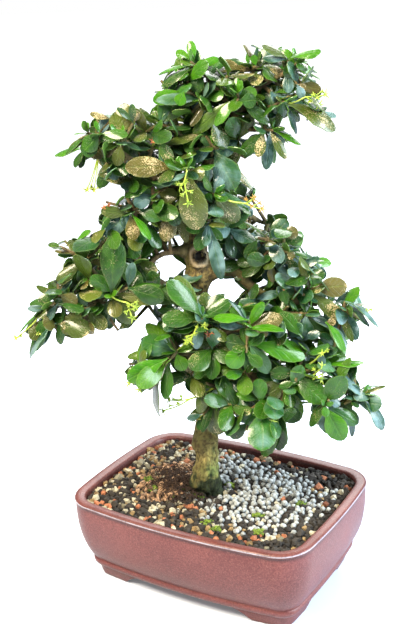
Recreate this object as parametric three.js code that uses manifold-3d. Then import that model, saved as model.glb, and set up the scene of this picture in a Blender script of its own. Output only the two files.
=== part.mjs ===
// A fukien tea bonsai: an old tapering trunk with leafy sprays, standing in a shallow glazed pot.
// Millimetres, +Z up. X runs along the pot's long side and Y along its short side.
// The tree is laid out in a frame of its own: x across its front, y away from the front, z up from
// the ground, with the middle of the pot at x = y = 0. Its front is turned by FRONT_TURN from the pot's.

import * as THREE from "three";
import Module from "manifold-3d";

const wasm = await Module();
wasm.setup();

// Driving dimensions
const POT_HALF_LENGTH = 110; // to the middle of the lip's outer edge, before the sides bow out
const POT_HALF_WIDTH = 79;
const POT_CORNER_RADIUS = 29.3;
const LONG_SIDE_BOW = 5;
const SHORT_SIDE_BOW = 2;
const LIP_HEIGHT = 73.5;
const LIP_WIDTH = 8.7;
const BASE_HEIGHT = 10.5; // underside of the pot's body above the ground
const FLOOR_HEIGHT = 17.5; // inside floor of the pot
const WALL_GAP = 0.35; // room between a piece and its neighbour
const SOIL_LEVEL = 67.5;
const FRONT_TURN = THREE.MathUtils.degToRad(31.4);
const BLADE_THICKNESS = 0.7;
const TWIG_RADIUS = 1.3;
const LEAF_LENGTH = 24; // a full-grown leaf of a short shoot

const FOOT_THICKNESS = 9;
const DRAIN_OFFSET = 46; // of each drainage hole from the middle, along X
const DRAIN_RADIUS = 8;
const SCREEN_SIDE = 34;
const SCREEN_CELLS = 2;
const SCREEN_BAR = 3;
const SCREEN_THICKNESS = 1.6;
const SOIL_COLUMNS = 18;
const SOIL_ROWS = 12;
const SOIL_GRAIN = 2.8; // how much the coarse soil rises and falls
const SOIL_SEED = 11;
const ABOVE_SOIL = 120; // shapes that cut the soil reach from here
const BELOW_FLOOR = 5; // down to here
const MOUND = { x: -46, y: -3, halfLength: 25, halfWidth: 33, height: 5 };
const DRIFT_BOTTOM = 60;
const PELLET_STEP = 6.4;
const PELLET_HEIGHT = 3.4;
const PELLET_SEED = 12;
const STUMP = [-13, 6, 0]; // where the trunk goes into the soil, in the tree's frame
const STUMP_RADIUS = 14;
const STUMP_BOTTOM = 36;
const TRUNK_SIDES = 8;
const SHOOT_RADIUS = 1.7; // of a twig where it leaves the wood
const ROOT_SHARE = 0.2; // of a leaf's length, in which the leaves of one twig may touch
const MOST_AHEAD = 6; // how far leaves may go past a twig's last hub
const LEAF_STEP = 1.5; // between one leaf's root and the next along a twig
const GOLDEN_ANGLE = Math.PI * (3 - Math.sqrt(5));
// Degrees that a leaf leans and turns aside to clear another, in the order they are tried
const CHOSEN_TRIES = [
  [0, 0], [9, 0], [-9, 0], [18, 0], [-18, 0], [9, 9], [-9, 9], [9, -9], [-9, -9], [27, 0], [-27, 0],
  [18, 14], [-18, 14], [18, -14], [-18, -14], [36, 0], [-36, 0],
];
const SWING_TRIES = [0, 20, -20, 40, -40, 60, -60, 85, -85, 110, -110];
const SEAT_GAP = 0.3; // between a twig's end and the wood that it grows from
const SEAT_REACH = 12;
const SEAT_TURNS = 8;
const STALK_RADIUS = 0.65;
const STAR_RADIUS = 4.2;
const STAR_DEPTH = 2.4;

// The pot's corner feet: [height, inset from the lip, arm along the long side, arm along the short]
const FOOT = [
  [0, 22, 20, 17],
  [3, 20.6, 23, 20],
  [7.5, 17.4, 29, 25],
  [BASE_HEIGHT + 3, 16.2, 36, 31],
];

// The drift of round pellets over the soil, in plan
const DRIFT = [
  [-33, 9], [-21, -15], [-2, -31], [24, -40], [47, -43], [66, -39], [81, -24], [88, 1], [87, 27], [74, 43],
  [48, 53], [20, 60], [-9, 63], [-36, 61], [-43, 40],
];
const DRIFT_CORNER = [-48, -46];
const PELLET_COLUMNS = 22;
const PELLET_ROWS = 20;

const COLOUR = {
  glaze: new THREE.Color(0.36, 0.15, 0.12),
  soil: new THREE.Color(0.2, 0.15, 0.1),
  pellets: new THREE.Color(0.72, 0.73, 0.68),
  bark: new THREE.Color(0.42, 0.34, 0.2),
  leaf: new THREE.Color(0.1, 0.27, 0.07),
  flower: new THREE.Color(0.62, 0.72, 0.2),
  mesh: new THREE.Color(0.05, 0.05, 0.05),
};

// Layout of the tree, in its own frame: each limb by its points [x, y, z, radius]
const LIMBS = {
  trunk: [
    [-13, 6, 36, 14], [-13, 6, 74, 14], [-13, 0, 83, 13], [-11, 0, 98, 10.8], [-10, 0, 114, 9.8],
    [-10, 0, 128, 9.4], [-6, 0, 150, 8.8], [-8, 0, 172, 8.6], [-13, 0, 197, 8.6], [-14, 0, 223, 8.6],
    [-12, 0, 246, 8.8], [-8, 0, 264, 10.5], [-9, 2, 280, 9.6], [-9, 4, 299, 7.5], [-5, 5, 321, 6.6],
    [1, 5, 342, 6], [13, 4, 365, 5.2], [26, 2, 383, 4.4], [35, 0, 396, 3.6],
  ],
  lowLeft: [
    [-13, 0, 245, 5.4], [-30, -5, 252, 4.2], [-45, -9, 263, 3.7], [-58, -13, 265, 3.2],
    [-71, -17, 260, 2.8], [-81, -20, 255, 2.4],
  ],
  lowLeftTop: [
    [-71, -17, 260, 2.6], [-83, -19, 267, 2.2], [-91, -20, 278, 1.8],
  ],
  thinLeft: [
    [-11, 2, 280, 4.4], [-26, -3, 283, 3], [-39, -7, 281, 2.4], [-49, -10, 273, 2],
  ],
  upperLeft: [
    [-5, 5, 316, 5], [-15, 0, 330, 3.9], [-28, -6, 334, 3.3], [-44, -10, 349, 2.8],
    [-61, -14, 364, 2.3], [-71, -17, 373, 1.9],
  ],
  right: [
    [-7, 0, 263, 6.5], [18, -4, 265, 4.8], [30, -8, 255, 4.4], [42, -12, 245, 4], [54, -15, 239, 3.5],
    [68, -18, 242, 3], [83, -21, 239, 2.3],
  ],
  rightTop: [
    [68, -18, 242, 2.8], [63, -14, 260, 2.4], [56, -11, 277, 2], [49, -9, 286, 1.7],
  ],
  front: [
    [-13, 0, 209, 5], [-7, -16, 218, 3.8], [-7, -28, 230, 2.8],
  ],
  frontRise: [
    [-7, -16, 218, 3.4], [10, -28, 224, 2.9], [23, -36, 227, 2.3],
  ],
  lowRight: [
    [-7, 0, 162, 5.5], [10, -14, 178, 4.2], [25, -26, 185, 3.5], [47, -31, 183, 3], [67, -35, 181, 2.5],
    [83, -39, 168, 2], [96, -42, 165, 1.7],
  ],
  lowFront: [
    [25, -26, 185, 3], [34, -36, 180, 2.5], [36, -42, 174, 2],
  ],
  lowFrontLeft: [
    [-12, 0, 185, 5], [-19, -12, 200, 3.8], [-25, -22, 206, 3], [-31, -29, 204, 2.4],
  ],
  apexLeft: [
    [26, 2, 383, 3.4], [17, -3, 399, 2.6], [6, -8, 415, 1.9],
  ],
  apexRight: [
    [35, 0, 396, 3.3], [46, -4, 407, 2.7], [59, -8, 413, 2],
  ],
  crownRight: [
    [23, 2, 378, 3.4], [34, -6, 376, 2.6], [41, -11, 375, 2.1],
  ],
  crownFront: [
    [29, 1, 387, 3], [27, -9, 394, 2.3],
  ],
  midFront: [
    [-3, 5, 327, 5], [-5, -10, 336, 3.4], [-8, -20, 343, 2.5],
  ],
  backLow: [
    [-9, 0, 176, 5.5], [7, 14, 182, 4.2], [31, 27, 181, 3.3], [53, 36, 171, 2.4],
  ],
  backLeft: [
    [-12, 0, 231, 5], [-22, 14, 238, 3.8], [-39, 28, 234, 3], [-52, 36, 232, 2.2],
  ],
  backRight: [
    [-8, 3, 291, 5], [6, 16, 300, 3.8], [27, 30, 303, 3], [45, 40, 293, 2.3],
  ],
  backTop: [
    [7, 5, 354, 4], [3, 16, 365, 3], [-4, 26, 377, 2.2],
  ],
  backLowLeft: [
    [-10, 0, 180, 4.5], [-18, 14, 187, 3.4], [-31, 26, 189, 2.4],
  ],
};

// The dark round scar of an old cut: a short stub on the trunk, [x, y, z]
const SCAR = [[-9, 2, 277], [-9, -11.5, 281]];
const SCAR_RADIUS = 7;

// A spray: where it leaves the wood [limb, point], its hubs [x, y, z, leaves set by rule, parent hub],
// and its leaves set by hand [hub, angle in the front view, length, lean to the viewer, width, face].
const SPRAYS = [
  {
    name: "low_left_tip",
    from: ["lowLeft", 5],
    hubs: [[-87, -23, 251, 0], [-97, -31, 249, 2, 0], [-115, -29, 255, 2, 0], [-126, -31, 251, 2, 2]],
    leaves: [
      [2, 140, 22, 5, 6, 40], [2, 175, 17, -10, 5, 20], [3, -175, 15, 10, 7, 40],
      [3, -140, 31, -5, 4, 10], [3, -110, 35, 10, 10, 75], [3, -115, 45, -10, 4, 60],
      [2, -95, 33, 10, 7, 75], [2, 100, 14, -35, 9, 60], [1, -135, 25, 10, 14, 72],
      [1, -45, 26, 15, 11, 70], [1, 105, 13, 10, 9, 50],
    ],
  },
  {
    name: "low_left_heart",
    from: ["lowLeft", 4],
    hubs: [[-74, -29, 259, 2]],
    leaves: [
      [0, 85, 46, 5, 19, 75], [0, -5, 39, 10, 13, 70], [0, -70, 30, 15, 14, 75],
      [0, -115, 25, 10, 9, 75], [0, 135, 23, 10, 11, 65],
    ],
  },
  {
    name: "low_left_top",
    from: ["lowLeftTop", 2],
    hubs: [[-94, -21, 284, 3]],
    leaves: [
      [0, 165, 24, 5, 5, 20], [0, 175, 22, -10, 5, 30], [0, 55, 17, 5, 7, 60], [0, 160, 31, -10, 3, 0],
      [0, 75, 23, -5, 4, 40], [0, -150, 27, 10, 9, 60], [0, -10, 17, -5, 7, 40],
    ],
  },
  {
    name: "thin_left",
    from: ["thinLeft", 3],
    hubs: [[-53, -12, 277, 2]],
    leaves: [
      [0, 100, 34, 5, 13, 70], [0, -70, 15, 10, 9, 70], [0, -20, 16, -5, 9, 65], [0, 55, 24, -5, 9, 60],
      [0, -170, 17, 5, 8, 55],
    ],
  },
  {
    name: "low_left_back",
    from: ["lowLeft", 2],
    hubs: [[-55, 8, 268, 2], [-70, 20, 271, 4], [-90, 26, 265, 4]],
    leaves: [],
  },
  {
    name: "upper_left_tip",
    from: ["upperLeft", 5],
    hubs: [[-78, -19, 377, 3]],
    leaves: [
      [0, -115, 16, 15, 13, 72], [0, -160, 34, 5, 5, 20], [0, -130, 28, 10, 6, 40],
      [0, -180, 17, -10, 5, 20], [0, 100, 18, -5, 5, 30], [0, 55, 17, 5, 8, 60],
    ],
  },
  {
    name: "upper_left_mid",
    from: ["upperLeft", 4],
    hubs: [[-60, -22, 372, 3]],
    leaves: [
      [0, 100, 22, 5, 10, 70], [0, 80, 29, -5, 13, 70], [0, 165, 16, 10, 7, 40],
      [0, -20, 15, 10, 6, 30], [0, -105, 17, 15, 9, 60],
    ],
  },
  {
    name: "upper_left_high",
    from: ["upperLeft", 3],
    hubs: [[-38, -12, 366, 2], [-31, -10, 383, 3]],
    leaves: [
      [1, 35, 24, 5, 9, 60], [1, 100, 21, 5, 10, 60], [0, 15, 13, 25, 5, 40], [1, 140, 19, -5, 7, 30],
      [1, -10, 23, 10, 5, 30], [0, 140, 23, -5, 9, 40],
    ],
  },
  {
    name: "upper_left_front",
    from: ["upperLeft", 2],
    hubs: [[-21, -27, 353, 2]],
    leaves: [
      [0, 175, 37, 10, 15, 72], [0, -155, 16, 20, 8, 65], [0, 120, 20, 0, 9, 50],
      [0, 15, 16, 10, 10, 60],
    ],
  },
  {
    name: "mid_left",
    from: ["upperLeft", 2],
    hubs: [[-39, -18, 331, 3], [-54, -20, 321, 3]],
    leaves: [
      [1, -145, 30, 10, 13, 68], [1, -20, 21, 15, 9, 70], [0, -165, 18, 15, 11, 70],
      [0, -135, 12, 30, 6, 72], [0, 160, 26, 5, 10, 55], [0, 170, 41, -5, 8, 40],
      [0, -5, 18, 15, 11, 65],
    ],
  },
  {
    name: "upper_left_back",
    from: ["upperLeft", 3],
    hubs: [[-45, 14, 353, 3], [-62, 26, 360, 4], [-82, 32, 356, 4]],
    leaves: [],
  },
  {
    name: "apex_left",
    from: ["apexLeft", 2],
    hubs: [[-1, -10, 422, 3]],
    leaves: [
      [0, 140, 21, 5, 7, 45], [0, 95, 20, -5, 7, 70], [0, -175, 29, 5, 5, 30], [0, 30, 17, -5, 7, 50],
      [0, -95, 19, 20, 10, 75], [0, -150, 15, 15, 7, 60],
    ],
  },
  {
    name: "apex_left_low",
    from: ["apexLeft", 1],
    hubs: [[2, -15, 399, 3]],
    leaves: [
      [0, -180, 19, 10, 8, 50], [0, 175, 36, 0, 10, 50], [0, 15, 16, 10, 9, 60],
      [0, -120, 21, 10, 6, 50],
    ],
  },
  {
    name: "crown_front",
    from: ["crownFront", 1],
    hubs: [[27, -16, 399, 3]],
    leaves: [
      [0, 90, 15, 10, 5, 60], [0, -135, 26, 15, 8, 60], [0, -145, 42, 5, 10, 70],
      [0, 20, 15, 5, 11, 60], [0, -40, 29, 10, 9, 60],
    ],
  },
  {
    name: "apex_mid",
    from: ["apexRight", 1],
    hubs: [[39, 1, 418, 3]],
    leaves: [
      [0, -180, 27, 5, 7, 40], [0, 80, 15, 5, 6, 70], [0, 110, 19, -10, 4, 40], [0, 45, 23, -5, 9, 50],
      [0, -70, 19, 20, 10, 65],
    ],
  },
  {
    name: "apex_right",
    from: ["apexRight", 2],
    hubs: [[66, -10, 418, 2]],
    leaves: [
      [0, 110, 14, -10, 8, 60], [0, -5, 17, 10, 10, 65], [0, 30, 23, -5, 5, 40],
      [0, 20, 26, -10, 4, 10], [0, -20, 28, -5, 5, 20], [0, -95, 18, 20, 8, 72],
    ],
  },
  {
    name: "apex_right_low",
    from: ["apexRight", 1],
    hubs: [[60, -13, 394, 2]],
    leaves: [
      [0, -50, 21, 15, 7, 65], [0, -70, 26, 5, 5, 60], [0, 15, 29, -5, 5, 20], [0, 145, 13, 15, 9, 60],
      [0, -25, 41, 5, 11, 45], [0, -15, 34, -5, 9, 50],
    ],
  },
  {
    name: "crown_right",
    from: ["crownRight", 2],
    hubs: [[46, -14, 375, 3]],
    leaves: [
      [0, -25, 29, 5, 7, 30], [0, -90, 29, 10, 9, 78], [0, -55, 27, 10, 7, 60], [0, -130, 25, 5, 7, 80],
      [0, -110, 25, -5, 8, 70],
    ],
  },
  {
    name: "crown_heart",
    from: ["trunk", 14],
    hubs: [[8, -15, 364, 3]],
    leaves: [
      [0, -155, 22, 10, 9, 70], [0, -65, 34, 10, 20, 75], [0, -50, 44, -5, 5, 40],
      [0, 125, 17, 5, 8, 50],
    ],
  },
  {
    name: "crown_back",
    from: ["trunk", 16],
    hubs: [[39, 14, 400, 3], [48, 26, 400, 4]],
    leaves: [
      [0, 130, 17, -20, 7, 40],
    ],
  },
  {
    name: "back_top",
    from: ["backTop", 2],
    hubs: [[-6, 28, 380, 4], [9, 34, 391, 4, 0]],
    leaves: [],
  },
  {
    name: "mid_front",
    from: ["midFront", 2],
    hubs: [[-12, -30, 351, 2]],
    leaves: [
      [0, -85, 45, 10, 21, 78], [0, 155, 19, 10, 9, 50], [0, -15, 13, 15, 10, 60],
    ],
  },
  {
    name: "mid_front_right",
    from: ["midFront", 1],
    hubs: [[6, -23, 331, 2]],
    leaves: [
      [0, -55, 30, 15, 16, 73], [0, -30, 34, 5, 7, 30], [0, 155, 16, 10, 10, 60],
      [0, -110, 10, 40, 7, 65], [0, -10, 23, -10, 6, 20],
    ],
  },
  {
    name: "mid_hanging",
    from: ["trunk", 11],
    hubs: [[1, -17, 309, 2]],
    leaves: [
      [0, -80, 46, 10, 11, 78], [0, -100, 20, 20, 7, 78], [0, -55, 18, 10, 6, 70],
      [0, -115, 24, 5, 10, 80], [0, -165, 18, 5, 9, 60],
    ],
  },
  {
    name: "mid_left_low",
    from: ["upperLeft", 1],
    hubs: [[-24, -16, 321, 3]],
    leaves: [
      [0, -110, 27, 10, 13, 75], [0, 155, 11, 20, 9, 60], [0, -145, 17, -5, 8, 60],
      [0, -75, 29, 0, 8, 72],
    ],
  },
  {
    name: "right_top",
    from: ["rightTop", 3],
    hubs: [[47, -11, 290, 2], [58, -14, 281, 2, 0]],
    leaves: [
      [0, 45, 21, -5, 13, 60], [0, 0, 26, 5, 9, 45], [0, -15, 26, 10, 3, 30], [0, -60, 22, 15, 11, 72],
      [1, -60, 29, 10, 9, 65], [0, 140, 26, 5, 4, 10], [1, -15, 19, 5, 5, 20], [1, -35, 39, 0, 14, 66],
      [1, -15, 41, -5, 3, 0], [1, -30, 46, 5, 3, 10],
    ],
  },
  {
    name: "right_heart",
    from: ["right", 2],
    hubs: [[34, 2, 270, 3]],
    leaves: [
      [0, 145, 25, 5, 12, 60], [0, -70, 19, 15, 16, 60], [0, -40, 24, 5, 10, 50],
      [0, 55, 17, -5, 8, 50], [0, 120, 28, -5, 6, 40],
    ],
  },
  {
    name: "right_low",
    from: ["right", 4],
    hubs: [[56, -22, 235, 2], [73, -27, 234, 2]],
    leaves: [
      [0, 160, 36, 5, 8, 60], [1, -100, 21, 15, 16, 78], [1, -160, 21, 10, 12, 65],
      [1, -50, 45, -5, 10, 72], [1, -30, 28, 10, 8, 60],
    ],
  },
  {
    name: "right_mid",
    from: ["right", 5],
    hubs: [[74, -20, 248, 2]],
    leaves: [
      [0, 10, 32, 5, 16, 62], [0, 75, 16, 10, 6, 65], [0, 100, 28, 0, 5, 60], [0, -35, 33, 10, 11, 60],
      [0, -15, 17, -15, 8, 40],
    ],
  },
  {
    name: "right_tip",
    from: ["right", 6],
    hubs: [[103, -23, 236, 3]],
    leaves: [
      [0, 5, 17, -5, 5, 15], [0, 55, 23, 5, 8, 65], [0, -70, 27, 10, 12, 72], [0, -35, 33, 0, 3, 30],
      [0, -45, 25, 5, 6, 60], [0, -95, 32, -5, 10, 72], [0, 65, 13, -20, 6, 40],
    ],
  },
  {
    name: "right_back",
    from: ["right", 3],
    hubs: [[61, 12, 251, 3], [79, 24, 261, 4]],
    leaves: [
      [1, -25, 23, -15, 10, 40],
    ],
  },
  {
    name: "back_right",
    from: ["backRight", 3],
    hubs: [[50, 44, 290, 5], [38, 44, 311, 4, 0]],
    leaves: [],
  },
  {
    name: "front_heart",
    from: ["front", 2],
    hubs: [[-8, -34, 235, 2]],
    leaves: [
      [0, 115, 42, 5, 13, 68], [0, 170, 31, 10, 13, 68], [0, 35, 28, 5, 11, 62],
      [0, 165, 35, -10, 7, 60], [0, 55, 26, -15, 12, 60], [0, -105, 22, 15, 8, 60],
    ],
  },
  {
    name: "low_front_left",
    from: ["lowFrontLeft", 3],
    hubs: [[-29, -31, 210, 2], [-37, -34, 202, 2]],
    leaves: [
      [0, 155, 29, 10, 17, 72], [0, 135, 32, 0, 11, 66], [0, -175, 39, -5, 8, 40],
      [0, -70, 16, 20, 11, 72], [1, -160, 34, 10, 15, 66], [1, -125, 28, 10, 13, 72],
      [1, -95, 28, 10, 10, 80], [1, -105, 46, 0, 5, 60], [0, 120, 19, -10, 7, 50],
    ],
  },
  {
    name: "front_rise",
    from: ["frontRise", 2],
    hubs: [[27, -42, 231, 2], [25, -46, 217, 2]],
    leaves: [
      [0, 120, 27, 5, 4, 20], [0, 60, 24, 10, 8, 65], [0, 130, 20, 5, 7, 55], [0, 170, 22, 10, 7, 45],
      [0, 15, 27, 5, 13, 55], [0, -60, 22, 15, 12, 72], [1, -135, 21, 10, 15, 72],
      [1, 170, 17, -10, 13, 76], [1, -15, 46, 0, 14, 55], [1, -55, 29, -5, 12, 65],
    ],
  },
  {
    name: "low_front",
    from: ["lowFront", 2],
    hubs: [[35, -46, 170, 2]],
    leaves: [
      [0, -95, 44, 10, 22, 82], [0, -75, 44, 5, 14, 76], [0, -20, 14, 10, 6, 60],
      [0, -130, 21, 10, 13, 80], [0, 95, 20, 0, 12, 65],
    ],
  },
  {
    name: "low_heart",
    from: ["lowRight", 1],
    hubs: [[0, -26, 177, 3], [-2, -29, 164, 3]],
    leaves: [
      [0, 165, 26, 10, 16, 65], [0, -145, 19, 10, 11, 70], [1, -85, 26, 10, 16, 80],
      [1, -60, 37, 5, 15, 76], [1, -120, 25, 5, 6, 80], [1, -150, 24, 0, 5, 50],
      [0, -5, 18, 25, 13, 70], [0, 110, 24, 0, 9, 60],
    ],
  },
  {
    name: "low_right_mid",
    from: ["lowRight", 3],
    hubs: [[52, -40, 182, 2], [63, -42, 192, 2, 0]],
    leaves: [
      [1, 175, 21, 10, 10, 66], [0, -155, 14, 20, 15, 72], [0, -70, 33, 5, 17, 78],
      [0, -95, 33, -5, 12, 72], [1, 50, 14, 15, 7, 50], [1, -55, 32, 10, 17, 74],
      [1, 40, 26, -5, 11, 60],
    ],
  },
  {
    name: "low_right",
    from: ["lowRight", 5],
    hubs: [[83, -52, 168, 2]],
    leaves: [
      [0, -65, 32, 10, 17, 80], [0, -125, 21, -5, 9, 60], [0, -35, 31, 0, 11, 72],
      [0, 60, 29, 10, 17, 72], [0, 60, 42, -5, 8, 45],
    ],
  },
  {
    name: "low_right_tip",
    from: ["lowRight", 6],
    hubs: [[109, -44, 169, 3]],
    leaves: [
      [0, -55, 35, 5, 7, 68], [0, 20, 25, 0, 4, 20], [0, -10, 22, 10, 10, 60], [0, 115, 31, 5, 6, 55],
      [0, 75, 29, -5, 5, 30], [0, -95, 35, -5, 5, 70],
    ],
  },
  {
    name: "back_low",
    from: ["backLow", 3],
    hubs: [[56, 38, 168, 4], [40, 34, 152, 4, 0]],
    leaves: [],
  },
  {
    name: "back_low_mid",
    from: ["backLow", 1],
    hubs: [[7, 28, 189, 3], [22, 36, 198, 4]],
    leaves: [],
  },
  {
    name: "back_left",
    from: ["backLeft", 3],
    hubs: [[-54, 38, 230, 4], [-43, 34, 213, 4, 0]],
    leaves: [],
  },
  {
    name: "back_low_left",
    from: ["backLowLeft", 2],
    hubs: [[-33, 30, 185, 4], [-46, 24, 172, 4, 0]],
    leaves: [],
  },
];

// A cyme of calyx stars: the spray and hub it grows from, the fork of its stalk, and its stars
const CYMES = [
  {
    name: "cyme_low_left",
    from: ["low_left_heart", 0],
    fork: [-63, -41, 255],
    stars: [[-57, -44, 252], [-60, -45, 244]],
  },
  {
    name: "cyme_mid",
    from: ["mid_front", 0],
    fork: [-15, -38, 344],
    stars: [[-13, -39, 328], [-18, -38, 341]],
  },
  {
    name: "cyme_right",
    from: ["mid_front_right", 0],
    fork: [29, -36, 325],
    stars: [[41, -38, 321], [35, -35, 328]],
  },
  {
    name: "cyme_heart",
    from: ["front_heart", 0],
    fork: [-13, -42, 231],
    stars: [[-18, -44, 223], [-6, -42, 233]],
  },
  {
    name: "cyme_front",
    from: ["low_front_left", 1],
    fork: [-46, -39, 193],
    stars: [[-59, -41, 184], [-67, -39, 189]],
  },
  {
    name: "cyme_long",
    from: ["low_heart", 0],
    fork: [-20, -36, 172],
    stars: [[-42, -38, 164], [-37, -36, 172]],
  },
  {
    name: "cyme_low",
    from: ["low_front", 0],
    fork: [39, -50, 157],
    stars: [[37, -54, 150], [43, -53, 157]],
  },
  {
    name: "cyme_low_right",
    from: ["low_right_mid", 1],
    fork: [74, -50, 191],
    stars: [[81, -52, 190], [82, -50, 199]],
  },
  {
    name: "cyme_top",
    from: ["apex_right_low", 0],
    fork: [77, -18, 398],
    stars: [[91, -19, 399], [86, -21, 392]],
  },
];

const bonsai = new THREE.Group();
const treeAcross = new THREE.Vector3(Math.cos(FRONT_TURN), Math.sin(FRONT_TURN), 0);
const treeBack = new THREE.Vector3(-Math.sin(FRONT_TURN), Math.cos(FRONT_TURN), 0);

function vec(x, y, z) {
  return new THREE.Vector3(x, y, z);
}

// A number from 0 to 1 that depends only on its keys, so each leaf keeps its own draws.
function draw(...keys) {
  let h = 2166136261;
  for (const key of keys) {
    h = Math.imul(h ^ key, 16777619) >>> 0;
    h = Math.imul(h ^ (h >>> 13), 1274126177) >>> 0;
    h = (h ^ (h >>> 16)) >>> 0;
  }
  return h / 4294967296;
}

// Solids

function solid(points, faces) {
  const vertProperties = new Float32Array(points.flatMap((p) => [p.x, p.y, p.z]));
  return new wasm.Manifold(
    new wasm.Mesh({ numProp: 3, vertProperties, triVerts: new Uint32Array(faces.flat()) }),
  );
}

// A closed skin over rings of equal size, with the two ends capped.
function loft(rings) {
  const size = rings[0].length;
  const faces = [];
  for (let k = 0; k + 1 < rings.length; k++) {
    for (let i = 0; i < size; i++) {
      const a = k * size + i;
      const b = k * size + ((i + 1) % size);
      faces.push([a, b, b + size], [a, b + size, a + size]);
    }
  }
  const flat = (ring) => {
    const normal = vec(0, 0, 0);
    ring.forEach((p, i) => normal.add(p.clone().cross(ring[(i + 1) % size])));
    normal.normalize();
    const u = ring[1].clone().sub(ring[0]).projectOnPlane(normal).normalize();
    const v = normal.clone().cross(u);
    return ring.map((p) => new THREE.Vector2(p.dot(u), p.dot(v)));
  };
  const last = (rings.length - 1) * size;
  for (const [a, b, c] of THREE.ShapeUtils.triangulateShape(flat(rings[0]), [])) {
    faces.push([c, b, a]);
  }
  for (const [a, b, c] of THREE.ShapeUtils.triangulateShape(flat(rings.at(-1)), [])) {
    faces.push([last + a, last + b, last + c]);
  }
  return solid(rings.flat(), faces);
}

// A tapering limb along points, each with the radius that the limb has there.
function limb(points, radii, sides) {
  const rings = [];
  let side = null;
  points.forEach((p, k) => {
    const before = points[Math.max(k - 1, 0)];
    const after = points[Math.min(k + 1, points.length - 1)];
    const along = after.clone().sub(before).normalize();
    if (!side) side = Math.abs(along.z) > 0.9 ? vec(1, 0, 0) : vec(0, 0, 1);
    side = side.clone().projectOnPlane(along).normalize();
    const other = along.clone().cross(side);
    const ring = [];
    for (let i = 0; i < sides; i++) {
      const turn = (2 * Math.PI * i) / sides;
      const spoke = side.clone().multiplyScalar(Math.cos(turn));
      spoke.addScaledVector(other, Math.sin(turn));
      ring.push(p.clone().addScaledVector(spoke, radii[k]));
    }
    rings.push(ring);
  });
  return loft(rings);
}

function joined(solids) {
  return solids.reduce((all, next) => all.add(next));
}

function addNode(name, shape, colour, roughness) {
  const mesh = shape.getMesh();
  const position = new Float32Array((mesh.vertProperties.length / mesh.numProp) * 3);
  for (let i = 0; i < position.length / 3; i++) {
    position.set(mesh.vertProperties.subarray(i * mesh.numProp, i * mesh.numProp + 3), i * 3);
  }
  const geometry = new THREE.BufferGeometry();
  geometry.setAttribute("position", new THREE.BufferAttribute(position, 3));
  geometry.setIndex(new THREE.BufferAttribute(mesh.triVerts, 1));
  geometry.computeVertexNormals();
  const node = new THREE.Mesh(
    geometry,
    new THREE.MeshStandardMaterial({ color: colour, roughness, metalness: 0 }),
  );
  node.name = name;
  bonsai.add(node);
}

// Pot

// The pot's outline in plan at a height: a rounded rectangle whose sides bow out a little.
function potRing(inset, height) {
  const a = POT_HALF_LENGTH - inset;
  const b = POT_HALF_WIDTH - inset;
  const r = Math.max(POT_CORNER_RADIUS - inset, 4);
  const ring = [];
  const side = (from, to, out, bow, steps) => {
    for (let i = 1; i < steps; i++) {
      const t = i / steps;
      const lift = bow * 4 * t * (1 - t);
      ring.push(vec(
        THREE.MathUtils.lerp(from[0], to[0], t) + out[0] * lift,
        THREE.MathUtils.lerp(from[1], to[1], t) + out[1] * lift,
        height,
      ));
    }
  };
  const corner = (x, y, start) => {
    const steps = 4;
    for (let i = 0; i <= steps; i++) {
      const turn = start + (i / steps) * (Math.PI / 2);
      ring.push(vec(x + r * Math.cos(turn), y + r * Math.sin(turn), height));
    }
  };
  corner(-a + r, -b + r, Math.PI);
  side([-a + r, -b], [a - r, -b], [0, -1], LONG_SIDE_BOW, 4);
  corner(a - r, -b + r, -Math.PI / 2);
  side([a, -b + r], [a, b - r], [1, 0], SHORT_SIDE_BOW, 2);
  corner(a - r, b - r, 0);
  side([a - r, b], [-a + r, b], [0, 1], LONG_SIDE_BOW, 4);
  corner(-a + r, b - r, Math.PI / 2);
  side([-a, b - r], [-a, -b + r], [-1, 0], SHORT_SIDE_BOW, 2);
  return ring;
}

// [height, inset from the lip's outer edge] up the outside, over the lip and down the inside
const OUTSIDE = [
  [BASE_HEIGHT, 15],
  [15, 12],
  [18.5, 12.6],
  [24, 9.2],
  [36, 4.4],
  [52, 1.4],
  [70, 0.6],
  [LIP_HEIGHT, 0],
];
const LIP_TOP = [
  [LIP_HEIGHT + 1.6, 1.6],
  [LIP_HEIGHT + 0.9, LIP_WIDTH],
];
const INSIDE = [
  [LIP_HEIGHT - 3, LIP_WIDTH + 1],
  [42, 13.4],
  [FLOOR_HEIGHT, 24],
];

// A corner foot in plan, for the corner at +X +Y: an L along the two sides, round at the corner.
function footRing([height, inset, long, short]) {
  const a = POT_HALF_LENGTH - inset;
  const b = POT_HALF_WIDTH - inset;
  const r = Math.max(POT_CORNER_RADIUS - inset, 4);
  const bowAt = (bow, distance, length) => (bow * 4 * distance * (length - distance)) / length ** 2;
  const longBow = bowAt(LONG_SIDE_BOW, long, 2 * (a - r));
  const shortBow = bowAt(SHORT_SIDE_BOW, short, 2 * (b - r));
  const round = r * (1 - Math.SQRT1_2);
  return [
    [a + shortBow, b - r - short],
    [a, b - r],
    [a - round, b - round],
    [a - r, b],
    [a - r - long, b + longBow],
    [a - r - long, b - FOOT_THICKNESS],
    [a - FOOT_THICKNESS, b - FOOT_THICKNESS],
    [a - FOOT_THICKNESS, b - r - short],
  ].map(([x, y]) => vec(x, y, height));
}

function foot(signX, signY) {
  const rings = FOOT.map((level) => {
    const ring = footRing(level).map((p) => vec(p.x * signX, p.y * signY, p.z));
    return signX * signY > 0 ? ring : ring.reverse();
  });
  return loft(rings);
}

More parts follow.
